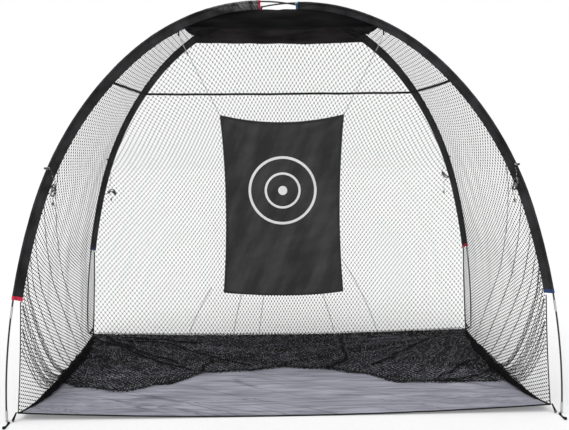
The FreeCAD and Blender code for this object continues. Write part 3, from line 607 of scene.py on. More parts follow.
def make_sleeves():
    trims = {}
    for name, (colour, _) in LEGS.items():
        start, cloth_start, cloth_end, end = sleeve_turns(name)
        # The front left sleeve gets the copy with the painted highlight near the crown
        finish = crown_highlight_cloth if name == "front_left" else sleeve_cloth
        strip = sleeve_strip("sleeve_cloth_" + name, name, cloth_start, cloth_end, 0.0, finish, SLEEVE_ROWS)
        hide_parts("sleeve_" + name)
        for part, first, last in (("crown", start, cloth_start), ("foot", cloth_end, end)):
            tape = red_tape if colour == "red" else blue_tape if part == "foot" else blue_crown_tape
            trim = sleeve_strip(part + "_trim_" + name, name, first, last, TRIM_LAP, tape, TRIM_ROWS)
            trims.setdefault(colour, trim)
    for colour, trim in trims.items():
        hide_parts(colour + "_sleeve_trims")


make_sleeves()


# Net edges: the line down each corner that the walls follow, and the walls between them
KNEE = min(arch_point(sleeve_turns(name)[3], INNER_EDGE)[1] for name in LEGS) - CLEARANCE
CANOPY_EDGE = arch_point(turn_where(CANOPY_REACH, 0, INNER_EDGE), INNER_EDGE + CLEARANCE + CANOPY_CLOTH)[1]
NET_TOP = CANOPY_EDGE - CLEARANCE
EDGE_STEP = 0.004
EDGE_TOP = 2.3


def net_edge(height):
    """Reach along the diagonal of the line that the net edges follow."""
    clear = INNER_EDGE + CLEARANCE
    if height >= KNEE:
        return arch_point(turn_where(height, 1, clear), clear)[0]
    top = arch_point(turn_where(KNEE, 1, clear), clear)[0]
    foot = CORNER_REACH - REAR_TAPE - 2 * CLEARANCE
    return foot + (top - foot) * height / KNEE


EDGE_HEIGHTS = [step * EDGE_STEP for step in range(int(EDGE_TOP / EDGE_STEP))]
EDGE_REACHES = [net_edge(height) for height in EDGE_HEIGHTS]


def half_sizes(height):
    """Half width and half depth between the net edges at a height."""
    return halves(float(np.interp(height, EDGE_HEIGHTS, EDGE_REACHES)))


def floor_lift(x, y):
    """How far the front corners of the floor are pulled up."""
    fade = max(0.0, 1 - (y + CORNER_Y) / LIFT_RUN)
    return FRONT_LIFT * (x / CORNER_X) ** 2 * fade**3


def wall_depth(along, height, rear):
    """How far out a wall's outer face lies at a place along it, or None past its edges."""
    long_half, deep_half = half_sizes(height) if rear else half_sizes(height)[::-1]
    share = along / (long_half - NET_CORNER)
    foot = SEAM_HEIGHT + (0 if rear else floor_lift(CORNER_X, share * CORNER_Y))
    top = NET_TOP + (0 if rear else REAR_RISE * (share + 1) / 2)
    if abs(share) > 1 or height < foot or height > top:
        return None
    bow = (REAR_BOW if rear else SIDE_BOW) * max(0.0, 1 - height / BELT_HEIGHT) ** 2
    return deep_half - bow * (1 - share**2)


# Netting: a lattice of twine laid on the line of each CAD wall
def netting(name, bars, thickness, material=net_twine):
    """A piece of three-sided bars. Bars holds the starts and ends of one or more lattices."""
    starts = np.array([point for firsts, _ in bars for point in firsts], dtype=float)
    ends = np.array([point for _, lasts in bars for point in lasts], dtype=float)
    run = ends - starts
    run /= np.maximum(np.linalg.norm(run, axis=1, keepdims=True), 1e-9)
    side = np.cross(run, (0.31, 0.87, 0.38))
    side /= np.maximum(np.linalg.norm(side, axis=1, keepdims=True), 1e-9)
    up = np.cross(run, side)
    corners = []
    for point in (starts, ends):
        for turn in (90, 210, 330):
            corners.append(point + thickness * (side * cosine(turn) + up * sine(turn)))
    vertices = np.stack(corners, axis=1).reshape(-1, 3)
    base = np.arange(len(starts))[:, None] * 6
    faces = np.concatenate([base + np.array(side) for side in ((0, 1, 4, 3), (1, 2, 5, 4), (2, 0, 3, 5))])
    mesh = bpy.data.meshes.new(name)
    mesh.vertices.add(len(vertices))
    mesh.vertices.foreach_set("co", vertices.ravel())
    mesh.loops.add(faces.size)
    mesh.loops.foreach_set("vertex_index", faces.ravel())
    mesh.polygons.add(len(faces))
    mesh.polygons.foreach_set("loop_start", np.arange(0, faces.size, 4))
    mesh.update(calc_edges=True)
    mesh.materials.append(material)
    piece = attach(put(name, mesh), "shelter")
    return piece


def crossings(point_at, columns, rows):
    """The crossings of a diamond lattice. point_at gives a point, or None outside the net."""
    cells = [(i, j) for i in range(-columns, columns + 1) for j in range(rows + 1) if (i + j) % 2 == 0]
    return {cell: point_at(*cell) for cell in cells}


def knots(name, point_at, columns, rows, radius, material=net_twine):
    """A short thick bar at each crossing of a lattice, for the knots in the twine."""
    middles = [point for point in crossings(point_at, columns, rows).values() if point is not None]
    half = UP * (0.9 * radius)
    bars = ([point - half for point in middles], [point + half for point in middles])
    netting(name, [bars], radius, material)


def lattice(point_at, columns, rows):
    """Starts and ends of the bars between the crossings of a lattice."""
    points = crossings(point_at, columns, rows)
    starts, ends = [], []
    for (i, j), here in points.items():
        for beyond in ((i - 1, j + 1), (i + 1, j + 1)):
            first, last = here, points.get(beyond)
            if beyond not in points or (first is None and last is None):
                continue
            if first is None or last is None:
                first, last = cut_bar(point_at, (i, j), beyond, first, last)
            if first is not None and (first - last).length > SHORTEST_BAR:
                starts.append(first)
                ends.append(last)
    return starts, ends


def cut_bar(point_at, start, end, first, last):
    """The part of a bar that lies inside the net, found by halving."""
    inside, outside, kept = (start, end, first) if first is not None else (end, start, last)
    low, high, best = 0.0, 1.0, None
    for _ in range(6):
        middle = (low + high) / 2
        found = point_at(*on_line(inside, outside, middle))
        if found is None:
            high = middle
        else:
            low, best = middle, found
    return (kept, best) if best is not None else (None, None)


def pleat(route, normal, breadth, seed, layers=1):
    """Lattices of a narrow fold where the netting lies doubled along a route on its wall."""
    path = [route(step / 60) for step in range(61)]
    length = sum((second - first).length for first, second in zip(path[:-1], path[1:]))
    rows = max(4, int(length / PLEAT_ROW_STEP))
    columns = max(1, round(breadth / PLEAT_CELL))
    bars = []
    for layer in range(layers):
        def point_at(i, j):
            share = min(1.0, j / rows)
            along = route(min(1.0, share + 0.01)) - route(max(0.0, share - 0.01))
            across = along.cross(normal).normalized()
            shift = breadth * (i / columns / 2 + 0.15 * wave(share * 9, i * 0.7, seed + layer))
            inwards = 0.003 * (layer + 1) + 0.003 * (1 + wave(share * 17, i, seed - layer))
            return route(share) + across * (shift * arc(0.06 + 0.9 * share) ** 0.5) + normal * inwards

        bars.append(lattice(point_at, columns, rows))
    return bars


def sagged(length, along, pull, upper):
    """Height of a row of meshes: rows are pulled up towards the poles, most at half height."""
    excess = max(0.0, length - 0.8)
    risen = length + (upper - 1) * excess**2 / (excess + 0.5)
    return risen + pull * max(0.0, risen * (EDGE_TOP - risen)) * (math.hypot(along, 0.25) - 0.25)


def rear_fold(x, z):
    """How far the rear net waves in and out: soft swags below, nothing at its sewn edges."""
    free = smooth((z - 0.02) / 0.25) * smooth((1.80 - z) / 0.7) * smooth((1.45 - abs(x)) / 0.25)
    swag = 0.020 * wave(x * 2.2 + 0.25 * z, z * 0.55, 1.0)
    return free * (swag + 0.012 * wave(x * 6.0 - 1.3 * z, z * 1.1, 5.0))


def wall_netting(wall, point_at, columns, rows, thickness, knot):
    net = netting(wall + "_netting", [lattice(point_at, columns, rows)], thickness)
    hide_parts("net_" + wall)
    knots(wall + "_net_knots", point_at, columns, rows, knot)


def rear_net():
    """The rear wall's netting. Its cells are narrow in the middle and square at the sides."""
    places = [0.0]
    while places[-1] < REAR_NET_HALF:
        x = places[-1]
        places.append(x + between(REAR_CELL_MIDDLE, REAR_CELL_SIDE, smooth(x / 1.25)))
    columns = len(places) - 1

    def column_x(i):
        whole = min(int(abs(i)), columns - 1)
        return math.copysign(between(places[whole], places[whole + 1], min(1.0, abs(i) - whole)), i)

    def point_at(i, j):
        length = j * REAR_ROW_STEP + FIRST_ROW
        x = column_x(i) * (1 + 0.16 * smooth((length - 1.3) / 0.7))
        z = sagged(length * (1 - 0.14 * smooth(abs(x) / 1.3)), x, 0.10, 1.05)
        depth = wall_depth(x, z, True)
        if depth is None:
            return None
        return Vector((x, depth - TWINE_INSET - rear_fold(x, z), z))

    wall_netting("rear", point_at, columns, int(REAR_NET_LENGTH / REAR_ROW_STEP), TWINE, REAR_KNOT)


# Folds of a side net: height at the front edge, place of the foot, curl and breadth
SIDE_FOLDS = [
    (1.34, 0.50, 1.1, 0.006),
    (1.14, 0.28, 1.1, 0.010),
    (0.97, 0.10, 1.2, 0.012),
    (0.86, 0.00, 1.4, 0.010),
    (0.77, -0.12, 1.7, 0.040),
    (0.72, -0.15, 1.7, 0.010),
    (0.66, -0.20, 1.8, 0.012),
    (0.60, -0.24, 1.8, 0.045),
    (0.53, -0.30, 1.8, 0.012),
    (0.47, -0.35, 1.7, 0.035),
    (0.41, -0.41, 1.7, 0.010),
    (0.36, -0.46, 1.6, 0.012),
]
# Creases of the rear net: place of the foot, lean, height and breadth
REAR_CREASES = [
    (-0.72, 0.36, 0.36, 0.008),
    (-0.37, 0.16, 0.34, 0.007),
    (-0.17, 0.10, 0.32, 0.007),
    (0.42, -0.22, 0.40, 0.006),
    (0.76, -0.30, 0.66, 0.007),
]


def side_fold(y, z, seed):
    """How far a side net swings inwards."""
    free = smooth((z - 0.03) / 0.12) * smooth((1.7 - z) / 0.5) * smooth((0.9 - abs(y)) / 0.10)
    return free * (0.005 * wave(y * 2.5 + seed, z * 1.4, seed) + 0.002 * wave(y * 8, z * 3.0, seed + 2))


def side_pleats(side, sign):
    """The curved folds that hang from the front edge of a side net."""
    bars = []
    for number, (start, foot, curl, breadth) in enumerate(SIDE_FOLDS):
        foot = foot + 0.04 * wave(number * 1.7, sign * 3.0, 1.0)

        def route(share):
            y = between(0.010 - half_sizes(start)[1], foot, share)
            z = start * (1 - share) ** curl + 0.035
            depth = wall_depth(y, z, False)
            while depth is None:
                y += 0.01
                depth = wall_depth(y, z, False)
            return Vector((sign * depth, y, z))

        bars += pleat(route, Vector((-sign, 0, 0)), breadth, 5.0 * number)
    netting(side + "_net_folds", bars, FOLD_TWINE)


def rear_pleats():
    """Creases of the rear net and the slack gathered along its foot."""
    bars = []
    for number, (foot, lean, height, breadth) in enumerate(REAR_CREASES):
        def route(share):
            z = 0.02 + height * share
            x = foot + lean * z * (1 + z)
            return Vector((x, wall_depth(x, z, True), z))

        bars += pleat(route, -BACK, breadth, 3.0 * number)

    def foot_route(share):
        x = 2.88 * (share - 0.5)
        return Vector((x, wall_depth(x, 0.016, True), 0.016))

    bars += pleat(foot_route, -BACK, 0.018, 50.0, 2)
    netting("rear_net_folds", bars, TWINE)


def side_net(side, sign):
    """One side wall's netting, gathered into its hanging folds."""
    def point_at(i, j):
        y = i * SIDE_HALF_CELL
        z = sagged(j * SIDE_ROW_STEP + FIRST_ROW, y, 0.03, 1.80)
        depth = wall_depth(y, z, False)
        if depth is None:
            return None
        return Vector((sign * (depth - TWINE_INSET - side_fold(y, z, 20.0 + sign)), y, z))

    columns = int(SIDE_NET_HALF / SIDE_HALF_CELL)
    wall_netting(side, point_at, columns, int(SIDE_NET_LENGTH / SIDE_ROW_STEP), SIDE_TWINE, SIDE_KNOT)


rear_net()
for side, sign in SIDES:
    side_net(side, sign)
rear_pleats()
for side, sign in SIDES:
    side_pleats(side, sign)


# Floor: sheet, hem and the loose net on it
def floor_half(y, inset):
    """Half width of the floor at a depth, less an inset."""
    return CORNER_X - inset - SIDE_BOW * (1 - (y / (CORNER_Y - inset)) ** 2)


def floor_rear(x, inset):
    """Depth of the floor's rear edge, which bows in, less an inset."""
    return CORNER_Y - inset - REAR_BOW * (1 - (x / (CORNER_X - inset)) ** 2)


# Creases from each front corner: angle above the front hem in degrees, and length
CORNER_CREASES = [(4.0, 1.5), (8.0, 1.2), (13.0, 1.7), (19.0, 1.1), (27.0, 1.0), (37.0, 0.8)]


def floor_creases(x, y):
    """Long low wrinkles of the ground cloth, pulled towards the two front corners."""
    front = smooth((-0.05 - y) / 0.5)
    total = 0.0024 * wave(x * 0.9, y * 9.0, 2.0)
    total += 0.0035 * front * wave(x * 1.4 + 2.5 * y, y * 16.0 + 1.8 * x, 6.0)
    deep = y + CORNER_Y
    for side in (-1, 1):
        off_side = CORNER_X - side * x
        angle = math.atan2(deep + 0.12, off_side + 0.15)
        total += 0.0040 * bell(off_side, 0.9) * wave(angle * 14, 0.6 * side, 9.0)
        run = math.hypot(off_side, deep)
        rise = math.degrees(math.atan2(deep, off_side))
        for tilt, reach in CORNER_CREASES:
            off = math.radians(rise - tilt - side * 0.8) * run
            total += 0.007 * bell(off, 0.009) * smooth((reach - run) / 0.6) * smooth(run / 0.25)
    return total


def floor_cloth():
    inset = HEM_WIDTH - 0.002
    front = inset - CORNER_Y
    points = []
    for row in range(FLOOR_ROWS):
        for column in range(FLOOR_COLUMNS):
            share = 2 * column / (FLOOR_COLUMNS - 1) - 1
            rear = floor_rear(share * (CORNER_X - inset), inset)
            y = between(front, rear, row / (FLOOR_ROWS - 1))
            x = share * floor_half(y, inset)
            edge = smooth((1 - abs(share)) / 0.05) * smooth(row / 8) * smooth((FLOOR_ROWS - 1 - row) / 8)
            z = 0.0012 + floor_lift(x, y) + edge * (0.003 + floor_creases(x, y))
            points.append((x, y, max(0.0008, z)))
    sheet = mesh_piece("ground_cloth", points, grid_faces(FLOOR_ROWS, FLOOR_COLUMNS), ground_cloth)
    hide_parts("floor_sheet")


def hem():
    """Black binding on the four edges of the floor."""
    steps = 80
    middle = HEM_WIDTH / 2
    runs = {"front": [], "rear": [], "left": [], "right": []}
    for step in range(steps + 1):
        share = 2 * step / steps - 1
        x = share * (CORNER_X - middle)
        y = share * (CORNER_Y - middle)
        runs["front"].append((x, -CORNER_Y + middle))
        runs["rear"].append((x, floor_rear(x, middle)))
        runs["right"].append((floor_half(y, middle), y))
        runs["left"].append((-floor_half(y, middle), y))
    for name, run in runs.items():
        path, across = [], []
        for index, (x, y) in enumerate(run):
            z = floor_lift(x, y) + HEM_THICKNESS / 2 + 0.0008 * (1 + wave(x * 9, y * 9, 4.0))
            path.append(Vector((x, y, z)))
            before, after = run[max(0, index - 1)], run[min(steps, index + 1)]
            along = Vector((after[0] - before[0], after[1] - before[1], 0)).normalized()
            across.append(along.cross(UP))
        tape = ribbon(name + "_hem", path, across, [UP] * len(path), (HEM_WIDTH, HEM_THICKNESS), webbing)
        if name == "front":
            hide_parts("hem_tape")


def net_front(x):
    """Depth of the loose net's front edge."""
    share = (x / CORNER_X + 1) / 2 * (len(FLOOR_NET_FRONT) - 1)
    whole = min(max(int(share), 0), len(FLOOR_NET_FRONT) - 2)
    return between(FLOOR_NET_FRONT[whole], FLOOR_NET_FRONT[whole + 1], smooth(share - whole))


def loose_net(layer):
    """One layer of the slack netting that lies in folds on the floor."""
    seed = 11.0 * layer
    base = 0.0055 + 0.0035 * layer
    turn = -9 + 21 * layer

    def point_at(i, j):
        across = i * FLOOR_HALF_CELL
        along = j * FLOOR_ROW_STEP - FLOOR_NET_LENGTH / 2
        u = across * cosine(turn) - along * sine(turn)
        v = across * sine(turn) + along * cosine(turn)
        x = u + 0.035 * wave(u * 3.1, v * 4.0, seed) + 0.006 * wave(u * 11, v * 13, seed + 1)
        y = 0.20 + v + 0.045 * wave(u * 2.3, v * 3.1, seed + 4) + 0.006 * wave(u * 12, v * 12, seed + 6)
        front = net_front(x) + 0.012 * layer
        if y < front or y > floor_rear(x, HEM_WIDTH) or abs(x) > floor_half(y, HEM_WIDTH):
            return None
        fan = math.atan2(0.80 - y, 1.50 - abs(x))
        ridge = 0.012 * max(0.0, wave(fan * 11, seed, 2.0)) * smooth((1.5 - abs(x)) / 0.3)
        z = base + 0.0020 * (1 + wave(x * 7 + 2 * y, y * 16, seed + 8)) * smooth((1.44 - abs(x)) / 0.2)
        return Vector((x, y, z + ridge))

    number = str(layer + 1)
    columns = int(FLOOR_NET_HALF / FLOOR_HALF_CELL)
    rows = int(FLOOR_NET_LENGTH / FLOOR_ROW_STEP)
    net = netting("floor_netting_" + number, [lattice(point_at, columns, rows)], LOOSE_TWINE)
    knots("floor_net_knots_" + number, point_at, columns, rows, FLOOR_KNOT, knot_glint_twine)
    return net


# Folds of the loose net: places along each, across and deep
FLOOR_FOLDS = [
    [(-1.44, 0.74), (-0.94, 0.19), (-0.57, -0.15)],
    [(-1.42, 0.82), (-1.08, 0.42), (-0.70, 0.02)],
    [(-1.28, 0.68), (-0.82, 0.52), (-0.48, 0.17), (-0.22, -0.03)],
    [(-1.20, 0.71), (-0.60, 0.54)],
    [(-0.47, 0.17), (-0.55, -0.13)],
    [(0.46, 0.62), (0.42, 0.04), (0.28, -0.11)],
    [(1.12, 0.58), (0.81, 0.20), (0.59, -0.06)],
    [(1.35, 0.09), (0.97, -0.33)],
    [(1.45, -0.14), (1.10, -0.37), (0.94, -0.38)],
]


def floor_folds():
    """Dark folds where the loose net lies doubled, and its gathered front edge."""
    bars = []
    for number, stops in enumerate(FLOOR_FOLDS):
        def route(share):
            part = share * (len(stops) - 1)
            whole = min(int(part), len(stops) - 2)
            x, y = on_line(stops[whole], stops[whole + 1], part - whole)
            x += 0.02 * wave(share * 4, number, 1.0)
            y += 0.03 * wave(share * 5, number, 4.0)
            return Vector((x, y, 0.013 + floor_lift(x, y)))

        bars += pleat(route, UP, 0.022, 7.0 * number, 2)

    def edge_line(share):
        x = 2.70 * (share - 0.5)
        y = net_front(x) + 0.012
        return Vector((x, y, 0.010 + floor_lift(x, y)))

    for seed in (90.0, 97.0):
        bars += pleat(edge_line, UP, 0.020, seed)
    netting("floor_net_folds", bars, FLOOR_FOLD_TWINE)


def hem_roll(side, sign):
    """The slack foot of a side net, rolled up on the floor along its hem."""
    bars = []
    for layer, share in enumerate((1.0, 0.75, 0.5)):
        seed = 31.0 * layer + sign

        def point_at(i, j):
            y = ROLL_STEP * j - 0.74
            if y > 0.80:
                return None
            radius = ROLL_RADIUS * share * arc(min(1.0, max(0.02, (0.84 - y) / 1.60))) ** 0.7
            radius *= 1 + 0.35 * wave(y * 6, 0.3 * i, seed)
            turn = 180 * i / ROLL_COLUMNS + 140 * wave(y * 2, 4.0, seed)
            x = floor_half(y, HEM_WIDTH) - 1.2 * radius * (1 + cosine(turn))
            x += 0.008 * wave(y * 9, i * 0.4, seed)
            z = 0.004 + radius * (1 + 0.85 * sine(turn)) + floor_lift(x, y)
            return Vector((sign * min(x, CORNER_X - 0.012), y, z))

        bars.append(lattice(point_at, ROLL_COLUMNS, 146))
    netting(side + "_net_roll", bars, TWINE)


floor_cloth()
hem()
for side, sign in SIDES:
    hem_roll(side, sign)
floor_layers = [loose_net(layer) for layer in range(2)]
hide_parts("floor_net")
floor_folds()


# Canopy: four panels of cloth seamed under the poles, and their lining
CANOPY_ROWS = 34
CANOPY_STEPS = 22
CANOPY_FIRST_TURN = 0.8
LINING_GAP = 0.0016


def canopy_panel(gore, drop):
    """Points of one panel, row by row from the crown to the hem."""
    last_turn = turn_where(CANOPY_REACH, 0, INNER_EDGE)
    inset = INNER_EDGE + CLEARANCE + CANOPY_CLOTH / 2
    points = []
    for row in range(CANOPY_ROWS):
        down = row / (CANOPY_ROWS - 1)
        reach, height = arch_point(between(CANOPY_FIRST_TURN, last_turn, down), inset)
        x_half, y_half = halves(reach)
        corners = [(x_half, -y_half), (x_half, y_half), (-x_half, y_half), (-x_half, -y_half)]
        start, end = corners[gore], corners[(gore + 1) % 4]
        for step in range(CANOPY_STEPS + 1):
            share = step / CANOPY_STEPS
            x, y = on_line(start, end, share)
            slack = arc(share)
            z = height - drop - 0.010 * slack * down**1.5
            z += 0.0045 * slack * wave(x * 7, y * 7, gore) + 0.0020 * slack * wave(x * 25, y * 25, 3.0)
            to_rear = {0: share, 2: 1 - share}.get(gore, 0.0)
            points.append(Vector((x, y, z + REAR_RISE * to_rear * down**2)))
    return points


def canopy_sheet(name, drop, material):
    """The four panels as one sheet, closed at the crown, and the points of its hem."""
    points, faces, edge, crown = [], [], [], []
    width = CANOPY_STEPS + 1
    for gore in range(4):
        first = len(points)
        panel = canopy_panel(gore, drop)
        points += panel
        faces += [tuple(first + index for index in face) for face in grid_faces(CANOPY_ROWS, width)]
        crown += [first + step for step in range(CANOPY_STEPS)]
        edge += panel[-width:]
    faces.append(tuple(crown))
    sheet = mesh_piece(name, points, faces, material)
    return sheet, edge


def make_canopy():
    sheet, edge = canopy_sheet("canopy_cloth", 0.0, canopy_cloth)
    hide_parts("canopy")
    canopy_sheet("canopy_lining", LINING_GAP, canopy_lining)
    path = [point + UP * CANOPY_HEM[0] / 2 for point in edge]
    outwards = [Vector((point.x, point.y, 0)).normalized() for point in edge]
    binding = ribbon("canopy_hem", path, [UP] * len(path), outwards, CANOPY_HEM, webbing)


def make_belt():
    """Belt tape round the three walls, a little slack between the sleeves."""
    x_half, y_half = [half - BELT_INSET for half in half_sizes(BELT_HEIGHT)]
    corners = [(-x_half, -y_half), (-x_half, y_half), (x_half, y_half), (x_half, -y_half)]
    path, inwards = [], []
    for start, end in zip(corners[:-1], corners[1:]):
        inward = Vector((end[1] - start[1], start[0] - end[0], 0)).normalized()
        for step in range(41):
            share = step / 40
            x, y = on_line(start, end, share)
            z = BELT_HEIGHT - 0.004 * arc(share) + 0.0015 * wave(x * 6, y * 6, 8.0)
            path.append(Vector((x, y, z)) + inward * (0.0012 * arc(share)))
            inwards.append(inward)
    tape = ribbon("belt_webbing", path, [UP] * len(path), inwards, (BELT_WIDTH, BELT_THICKNESS), webbing)
    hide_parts("belt_tape")


def edge_route(name, diameter):
    """Control points of a bound net edge from the sleeve down to the floor corner."""
    side = -1 if name.startswith("front") else 1
    low = SEAM_HEIGHT + floor_lift(CORNER_X, side * CORNER_Y)
    outwards = diameter / 2 + CLEARANCE
    points = []
    for step in range(15):
        height = between(KNEE - 0.002, low, step / 14)
        sideways = 0.0022 * wave(step * 0.9, side, len(name))
        reach = net_edge(height) + outwards - 0.004 * arc(step / 14)
        points.append(in_leg(name, reach, sideways, height))
    return points


def make_edges():
    for name in LEGS:
        thick, material = (FRONT_CORD, edge_cord) if name.startswith("front") else (REAR_TAPE, webbing)
        curve_piece("net_edge_" + name, edge_route(name, thick), thick, material)
    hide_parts("front_edge_cords")
    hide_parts("rear_corner_tapes")


make_canopy()
make_belt()
make_edges()


# Guy lines, with places outwards, sideways and up from the tab: turns of the knot, points down to the
# hank, the hank's middle, its lean, its sizes (layers, radius, columns, half length, waist and bend)
# and the points down to the slider
LAYER_STEP = 0.0027
COIL_RADIUS = 0.0062
GUYS = {
    "front_left": (9, [(-0.030, 0.019, -0.020), (-0.032, 0.019, -0.048)],
                   (-0.033, 0.019, -0.121), -8.0, (4, 0.0138, 4, 0.0225, 0.0040, 0.0),
                   [(-0.028, 0.020, -0.171), (-0.029, 0.019, -0.182)]),
    "front_right": (7, [(-0.014, 0.018, -0.018), (-0.004, 0.019, -0.045)],
                    (-0.011, 0.019, -0.109), 15.0, (4, 0.0138, 4, 0.0225, 0.0040, 0.0),
                    [(-0.022, 0.020, -0.158), (-0.016, 0.020, -0.173), (-0.012, 0.019, -0.189)]),
    "rear_left": (4, [(0.003, 0.026, -0.024), (0.012, 0.036, -0.070), (0.022, 0.047, -0.125),
                      (0.028, 0.056, -0.180)],
                  (0.020, 0.060, -0.238), 84.0, (2, 0.0086, 6, 0.0300, 0.0, 21.0),
                  [(0.006, 0.061, -0.283), (0.031, 0.060, -0.299)]),
    "rear_right": (4, [(-0.004, 0.026, -0.022), (-0.014, 0.038, -0.060), (-0.024, 0.047, -0.098)],
                   (0.001, 0.050, -0.147), -55.0, (2, 0.0086, 6, 0.0290, 0.0, 5.0),
                   [(-0.007, 0.051, -0.190), (-0.005, 0.051, -0.226), (-0.006, 0.050, -0.262)]),
}


def coil(turns):
    """The knot in front of a tab: turns of the line round itself, inwards from the tab."""
    points = [(0, -0.006, 0), (0.002, 0.008, -0.003)]
    for step in range(8 * turns + 7):
        angle = 45 * step - 90
        sideways = 0.0185 + COIL_RADIUS * cosine(angle)
        points.append((0.004 - LAYER_STEP * step / 8, sideways, COIL_RADIUS * sine(angle)))
    return points


def round_turn(size, half):
    """Points (along, across) once round a hank: a run down one side, an end, a run back, an end."""
    sides = [share * half for share in (0.85, 0.42, 0.0, -0.42, -0.85)]
    points = [(half + size * cosine(angle), size * sine(angle)) for angle in (0, 50)]
    points += [(along, size) for along in sides]
    points += [(size * cosine(angle) - half, size * sine(angle)) for angle in (130, 180, 230)]
    points += [(-along, -size) for along in sides]
    points.append((half + size * cosine(310), size * sine(310)))
    return points


def hank_turns(layers, radius, columns, half, waist, bend):
    """Control points round a hank: along it, across it and through its thickness."""
    turns = []
    for turn in range(layers * columns):
        layer, column = divmod(turn, columns)
        column = columns - 1 - column if layer % 2 else column
        ring = round_turn(radius - layer * LAYER_STEP, half)
        for step, (along, across) in enumerate(ring):
            drift = (step / len(ring) - 0.5) * (-1 if layer % 2 else 1)
            turns.append((along, across, (column - (columns - 1) / 2 + drift) * LAYER_STEP))
    # The line leaves the hank half way through the last turn
    turns = turns[:-7]
    turns.insert(0, (half + radius + 0.003, -0.010, turns[0][2]))
    turns.append((turns[-1][0] - 0.003, -0.008, turns[-1][2]))
    points = []
    for along, across, depth in turns:
        pinch = waist * bell(along, 0.012)
        points.append((along, across - math.copysign(pinch, across) + bend * along**2, depth))
    return points


def guy_route(name):
    """Control points of a guy line: its knot at the tab, its hank and its end at the slider."""
    knot, drop, centre, lean, sizes, tail = GUYS[name]
    lift = LIFT[LEGS[name][0]]
    turn = turn_where(TAB_HEIGHT - lift, 1)
    outward = Vector((sine(turn), cosine(turn)))
    reach, height = arch_point(turn)
    offset = POCKET_RADIUS + TAB_RADIUS + WEBBING
    hole = (reach + outward.x * offset, height + lift + outward.y * offset)
    side = 1 if name in ("front_left", "rear_right") else -1
    path = coil(knot) + drop
    for along, across, depth in hank_turns(*sizes):
        s = centre[0] + along * sine(lean) + across * cosine(lean)
        z = centre[2] + along * cosine(lean) - across * sine(lean)
        path.append((s, centre[1] + depth, z))
    return [in_leg(name, hole[0] + s, side * n, hole[1] + z) for s, n, z in path + tail]


def make_guys():
    for name in LEGS:
        route = guy_route(name)
        line = curve_piece("guy_line_" + name, route, GUY_DIAMETER, guy_braid)
        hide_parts("guy_cord_" + name, "guy_hank_" + name)


make_guys()


# Target: a hemmed sheet on two cords with elastic ends
MARK_HEIGHT = 1.215
MARK_REACH = 0.5
# Radius from which each tone of the aiming mark runs outwards, 1 for white
MARK_EDGES = [(0.0, 1.0), (0.026, 0.0), (0.095, 1.0), (0.108, 0.0), (0.190, 1.0), (0.206, 0.0)]


def target_point(u, v):
    """A point of the target sheet: u and v run from -1 to 1 across and up it."""
    half = between(TARGET_BOTTOM_HALF, TARGET_TOP_HALF, (v + 1) / 2) - TARGET_SIDE_HOLLOW * (1 - v * v)
    top = TARGET_TOP - TARGET_TOP_SAG * (1 - u * u)
    bottom = TARGET_BOTTOM - TARGET_BOTTOM_DROP * (1 - u * u)
    z = between(bottom, top, (v + 1) / 2)
    x = u * half
    fold = 0.008 * wave(x * 4.5, z * 1.2, 1.0) + 0.003 * wave(x * 13 + z * 6, z * 4, 2.0)
    for corner in (-1, 1):
        spread = math.atan2(TARGET_TOP + 0.02 - z, TARGET_TOP_HALF - x * corner + 0.02)
        fold += 0.010 * math.sin(spread * 11 + corner) * bell(corner - u, 0.9)
    return Vector((x, TARGET_PLANE + fold * smooth((1 - v) / 0.15), z))


def target_cloth():
    """Charcoal cloth with a generic white aiming mark: two rings and a spot, and painted light and shade
    along its folds and swags.
    """
    material, tree = new_material("target_cloth")
    here = add(tree, "TexCoord").outputs["Object"]
    off = add(tree, "VectorMath", {0: here, 1: (0, 0, MARK_HEIGHT)}, operation="SUBTRACT").outputs[0]
    flat = add(tree, "VectorMath", {0: off, 1: (1, 0, 1)}, operation="MULTIPLY").outputs[0]
    away = add(tree, "VectorMath", {0: flat}, operation="LENGTH").outputs["Value"]
    share = add(tree, "Math", {0: away, 1: MARK_REACH}, operation="DIVIDE").outputs[0]
    ramp = add(tree, "ValToRGB", {"Fac": share})
    ramp.color_ramp.interpolation = "CONSTANT"
    stops = ramp.color_ramp.elements
    for index, (edge, level) in enumerate(MARK_EDGES):
        stop = stops[index] if index < 2 else stops.new(edge / MARK_REACH)
        stop.position = edge / MARK_REACH
        stop.color = (level, level, level, 1)
    # Painted light and shade of the folds: lighter and darker bands, then darker swags multiplied in
    folds = noise_value(tree, 5.0, 3.0, (2.6, 1, 0.7), (0, 24, 0))
    ground = blend_colour(tree, folds, (0.030, 0.030, 0.031), (0.058, 0.058, 0.060), (0.36, 0.66))
    swags = noise_value(tree, 6.0, 4.0, (0.8, 1, 2.2), (0, -18, 0))
    shades = blend_colour(tree, swags, (0.72,) * 3, (1,) * 3)
    ground = mix_colours(tree, 1.0, ground, shades, "MULTIPLY")
    colour = mix_colours(tree, ramp.outputs["Color"], ground, (0.82, 0.82, 0.82, 1))
    heights = [(weave_value(tree, 0.0008), 0.3, 0.0003), (noise_value(tree, 26.0), 0.6, 0.006)]
    return surface(material, colour, 0.5, heights, 0.15)


